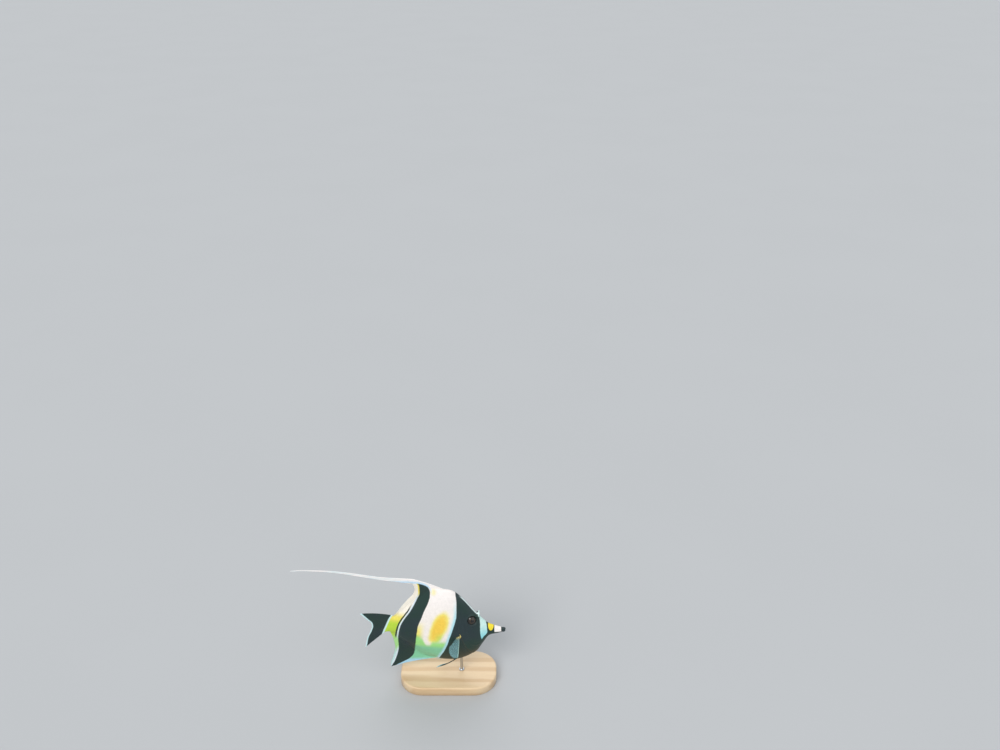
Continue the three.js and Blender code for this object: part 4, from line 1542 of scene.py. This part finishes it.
def eyeMaterial():
    material, tree, inputs = newMaterial("idolEye", roughness=0.2, coat=0.35, coatRoughness=0.05)
    u, v = mapOf(tree, "eyeMap")
    out = addSpot(tree, u, v, (0.5, 0.5), [eyeLook["mapShare"]] * 2)
    across, up = addMath(tree, "SUBTRACT", u, 0.5), addMath(tree, "SUBTRACT", v, 0.5)
    turn = addMath(tree, "MULTIPLY", addMath(tree, "ARCTAN2", up, across), eyeLook["streaks"])
    mottle = addNoise(tree, objectPlace(tree), *eyeLook["mottleNoise"])
    streaked = addMath(tree, "MULTIPLY_ADD", addMath(tree, "SINE", turn), eyeLook["streakShare"], mottle)
    iris = addMix(tree, addRamp(tree, streaked, *eyeLook["irisStreaks"]), *eyeLook["iris"])
    gold = addMix(tree, mottle, *eyeLook["gold"])
    colour = addMix(tree, addRamp(tree, out, *eyeLook["goldEdge"]), gold, iris)
    colour = addMix(tree, addRamp(tree, out, *eyeLook["pupilEdge"]), eyeLook["pupil"], colour)
    colour = addMix(tree, addRamp(tree, out, *eyeLook["rimEdge"]), colour, eyeLook["rim"])
    feed(tree, inputs["Base Color"], colour)
    return material


eyePaint = eyeMaterial()
addEye("eyeLeft", 1, "eye_left", eyePaint)
addEye("eyeRight", -1, "eye_right", eyePaint)
print("eyes set")

# The stand: a maple base with rounded corners and edges, and a brushed steel rod
stand = {
    "length": 0.124,
    "width": 0.07,
    "thickness": 0.012,
    "corner": 0.03,
    "perCorner": 28,
    "edge": 0.002,
    "edgeSteps": 9,
    "bevel": 0.0006,
    "topInsets": (0.006, 0.0265),  # two more rings on the flat top
    "rodAt": 0.622,
    "rodRadius": 0.002,
    "rodBottom": 0.0061,
    "rodEdge": 0.0003,
    "rodSides": 64,
    "collarRadius": 0.0034,
    "collarHeight": 0.0013,
    "collarSunk": 0.0004,
    "collarFillet": 0.0002,
    "crispOver": 35,
    "woodScale": (6, 60, 60),
    "woodNoise": (1.2, 3.0),
    "woodDrift": 9.0,
    "woodRings": 5.5,
    "woodTints": (paint(214, 182, 140), paint(230, 203, 164)),
    "poreScale": (120, 2600, 2600),
    "poreNoise": (1.0, 3.0),
    "pores": (0.62, 0.75, 0.0, 0.35),
    "poreTint": paint(176, 138, 96),
    "poreDepth": 0.00005,
    "brushScale": (60, 60, 5200),
    "brushNoise": (1.0, 2.0),
    "steelTints": (paint(166, 169, 172), paint(206, 208, 210)),
    "steelRoughness": (0.2, 0.8, 0.24, 0.42),
}


def roundedOutline(inset):
    # a rectangle with round corners, drawn in by the inset, as one closed line of points
    count = stand["perCorner"]
    radius = stand["corner"] - inset
    reachX, reachY = stand["length"] / 2 - stand["corner"], stand["width"] / 2 - stand["corner"]
    turns = np.concatenate([np.linspace(q, q + 1, count) * math.pi / 2 for q in range(4)])
    signX = np.repeat([1, -1, -1, 1], count)
    signY = np.repeat([1, 1, -1, -1], count)
    return np.stack([reachX * signX + radius * np.cos(turns), reachY * signY + radius * np.sin(turns)], -1)


def addBase(material):
    # the outline carried up a profile: a small bevel below, a straight side and a round edge above
    rise = np.linspace(0, math.pi / 2, stand["edgeSteps"])
    edge, bevel, top = stand["edge"], stand["bevel"], stand["thickness"]
    profile = [(bevel, 0.0), (0.0, bevel)]
    profile += list(zip(edge * (1 - np.cos(rise)), top - edge + edge * np.sin(rise)))
    profile += [(edge + inset, top) for inset in stand["topInsets"]]
    outlines = [(roundedOutline(inset), height) for inset, height in profile[::-1]]
    grid = np.stack([np.column_stack([line, np.full(len(line), height)]) for line, height in outlines])
    settle(addTube("standBase", grid), material, "base", "stand_base")


def woodMaterial():
    # year rings as waves across the grain, bent by a stretched noise, with fine dark pores
    material, tree, inputs = newMaterial("mapleWood", roughness=0.38, coat=0.25, coatRoughness=0.22)
    place = mapped(tree, stand["woodScale"])
    drift = addNoise(tree, place, *stand["woodNoise"])
    _, across, _ = parted(tree, place)
    across = addMath(tree, "MULTIPLY", across, stand["woodRings"])
    rings = addMath(tree, "SINE", addMath(tree, "MULTIPLY_ADD", drift, stand["woodDrift"], across))
    pores = addNoise(tree, mapped(tree, stand["poreScale"]), *stand["poreNoise"])
    colour = addMix(tree, addRamp(tree, rings, -1.0, 1.0), *stand["woodTints"])
    colour = addMix(tree, addRamp(tree, pores, *stand["pores"]), colour, stand["poreTint"])
    feed(tree, inputs["Base Color"], colour)
    feed(tree, inputs["Normal"], addBump(tree, pores, stand["poreDepth"]))
    return material


def addRod(material):
    # a turned shape: a low collar on the base, then a straight rod up into the belly
    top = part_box("stand_rod")[1][2]
    radius, edge = stand["rodRadius"], stand["rodEdge"]
    wide, fillet = stand["collarRadius"], stand["collarFillet"]
    seat = stand["thickness"]
    foot, collarTop = seat - stand["collarSunk"], seat + stand["collarHeight"]
    profile = np.array([
        (radius, stand["rodBottom"]), (radius, foot), (wide - fillet, foot), (wide, seat),
        (wide, collarTop - edge), (wide - edge, collarTop),
        (radius + fillet, collarTop), (radius, collarTop + fillet),
        (radius, top - edge), (radius - edge, top),
    ])
    around = np.linspace(0, 2 * math.pi, stand["rodSides"], endpoint=False)
    middle = stand["rodAt"] * body["length"] + body["origin"][0]
    out, height = profile[:, :1], profile[:, 1:]
    piece = addTube("standRod", stack(middle + out * np.cos(around), out * np.sin(around), height))
    split = piece.modifiers.new("crispEdges", "EDGE_SPLIT")
    split.split_angle = math.radians(stand["crispOver"])
    settle(piece, material, "rod", "stand_rod")


def steelMaterial():
    # brushed round the rod
    material, tree, inputs = newMaterial("brushedSteel", roughness=0.3)
    inputs["Metallic"].default_value = 1.0
    brushed = addNoise(tree, mapped(tree, stand["brushScale"]), *stand["brushNoise"])
    feed(tree, inputs["Base Color"], addMix(tree, brushed, *stand["steelTints"]))
    feed(tree, inputs["Roughness"], addRamp(tree, brushed, *stand["steelRoughness"]))
    return material


addBase(woodMaterial())
addRod(steelMaterial())
print("stand made")

# The floor: one broad pale sheet, no part of the fish
floorLook = {
    "half": 30.0,
    "tint": (0.505, 0.52, 0.535),
    "noise": (3.0, 4.0),
    "unevenness": (0.2, 0.8, 0.985, 1.0),
}


def addFloor():
    points = np.array([(-1, -1, 0), (1, -1, 0), (1, 1, 0), (-1, 1, 0)], float) * floorLook["half"]
    piece = addMesh("floor", points, [(0, 1, 2, 3)], smooth=False)
    material, tree, inputs = newMaterial("paleFloor", roughness=1.0)
    inputs["Specular IOR Level"].default_value = 0
    uneven = addRamp(tree, addNoise(tree, objectPlace(tree), *floorLook["noise"]), *floorLook["unevenness"])
    feed(tree, inputs["Base Color"], shaded(tree, floorLook["tint"], uneven))
    piece.data.materials.append(material)


addFloor()
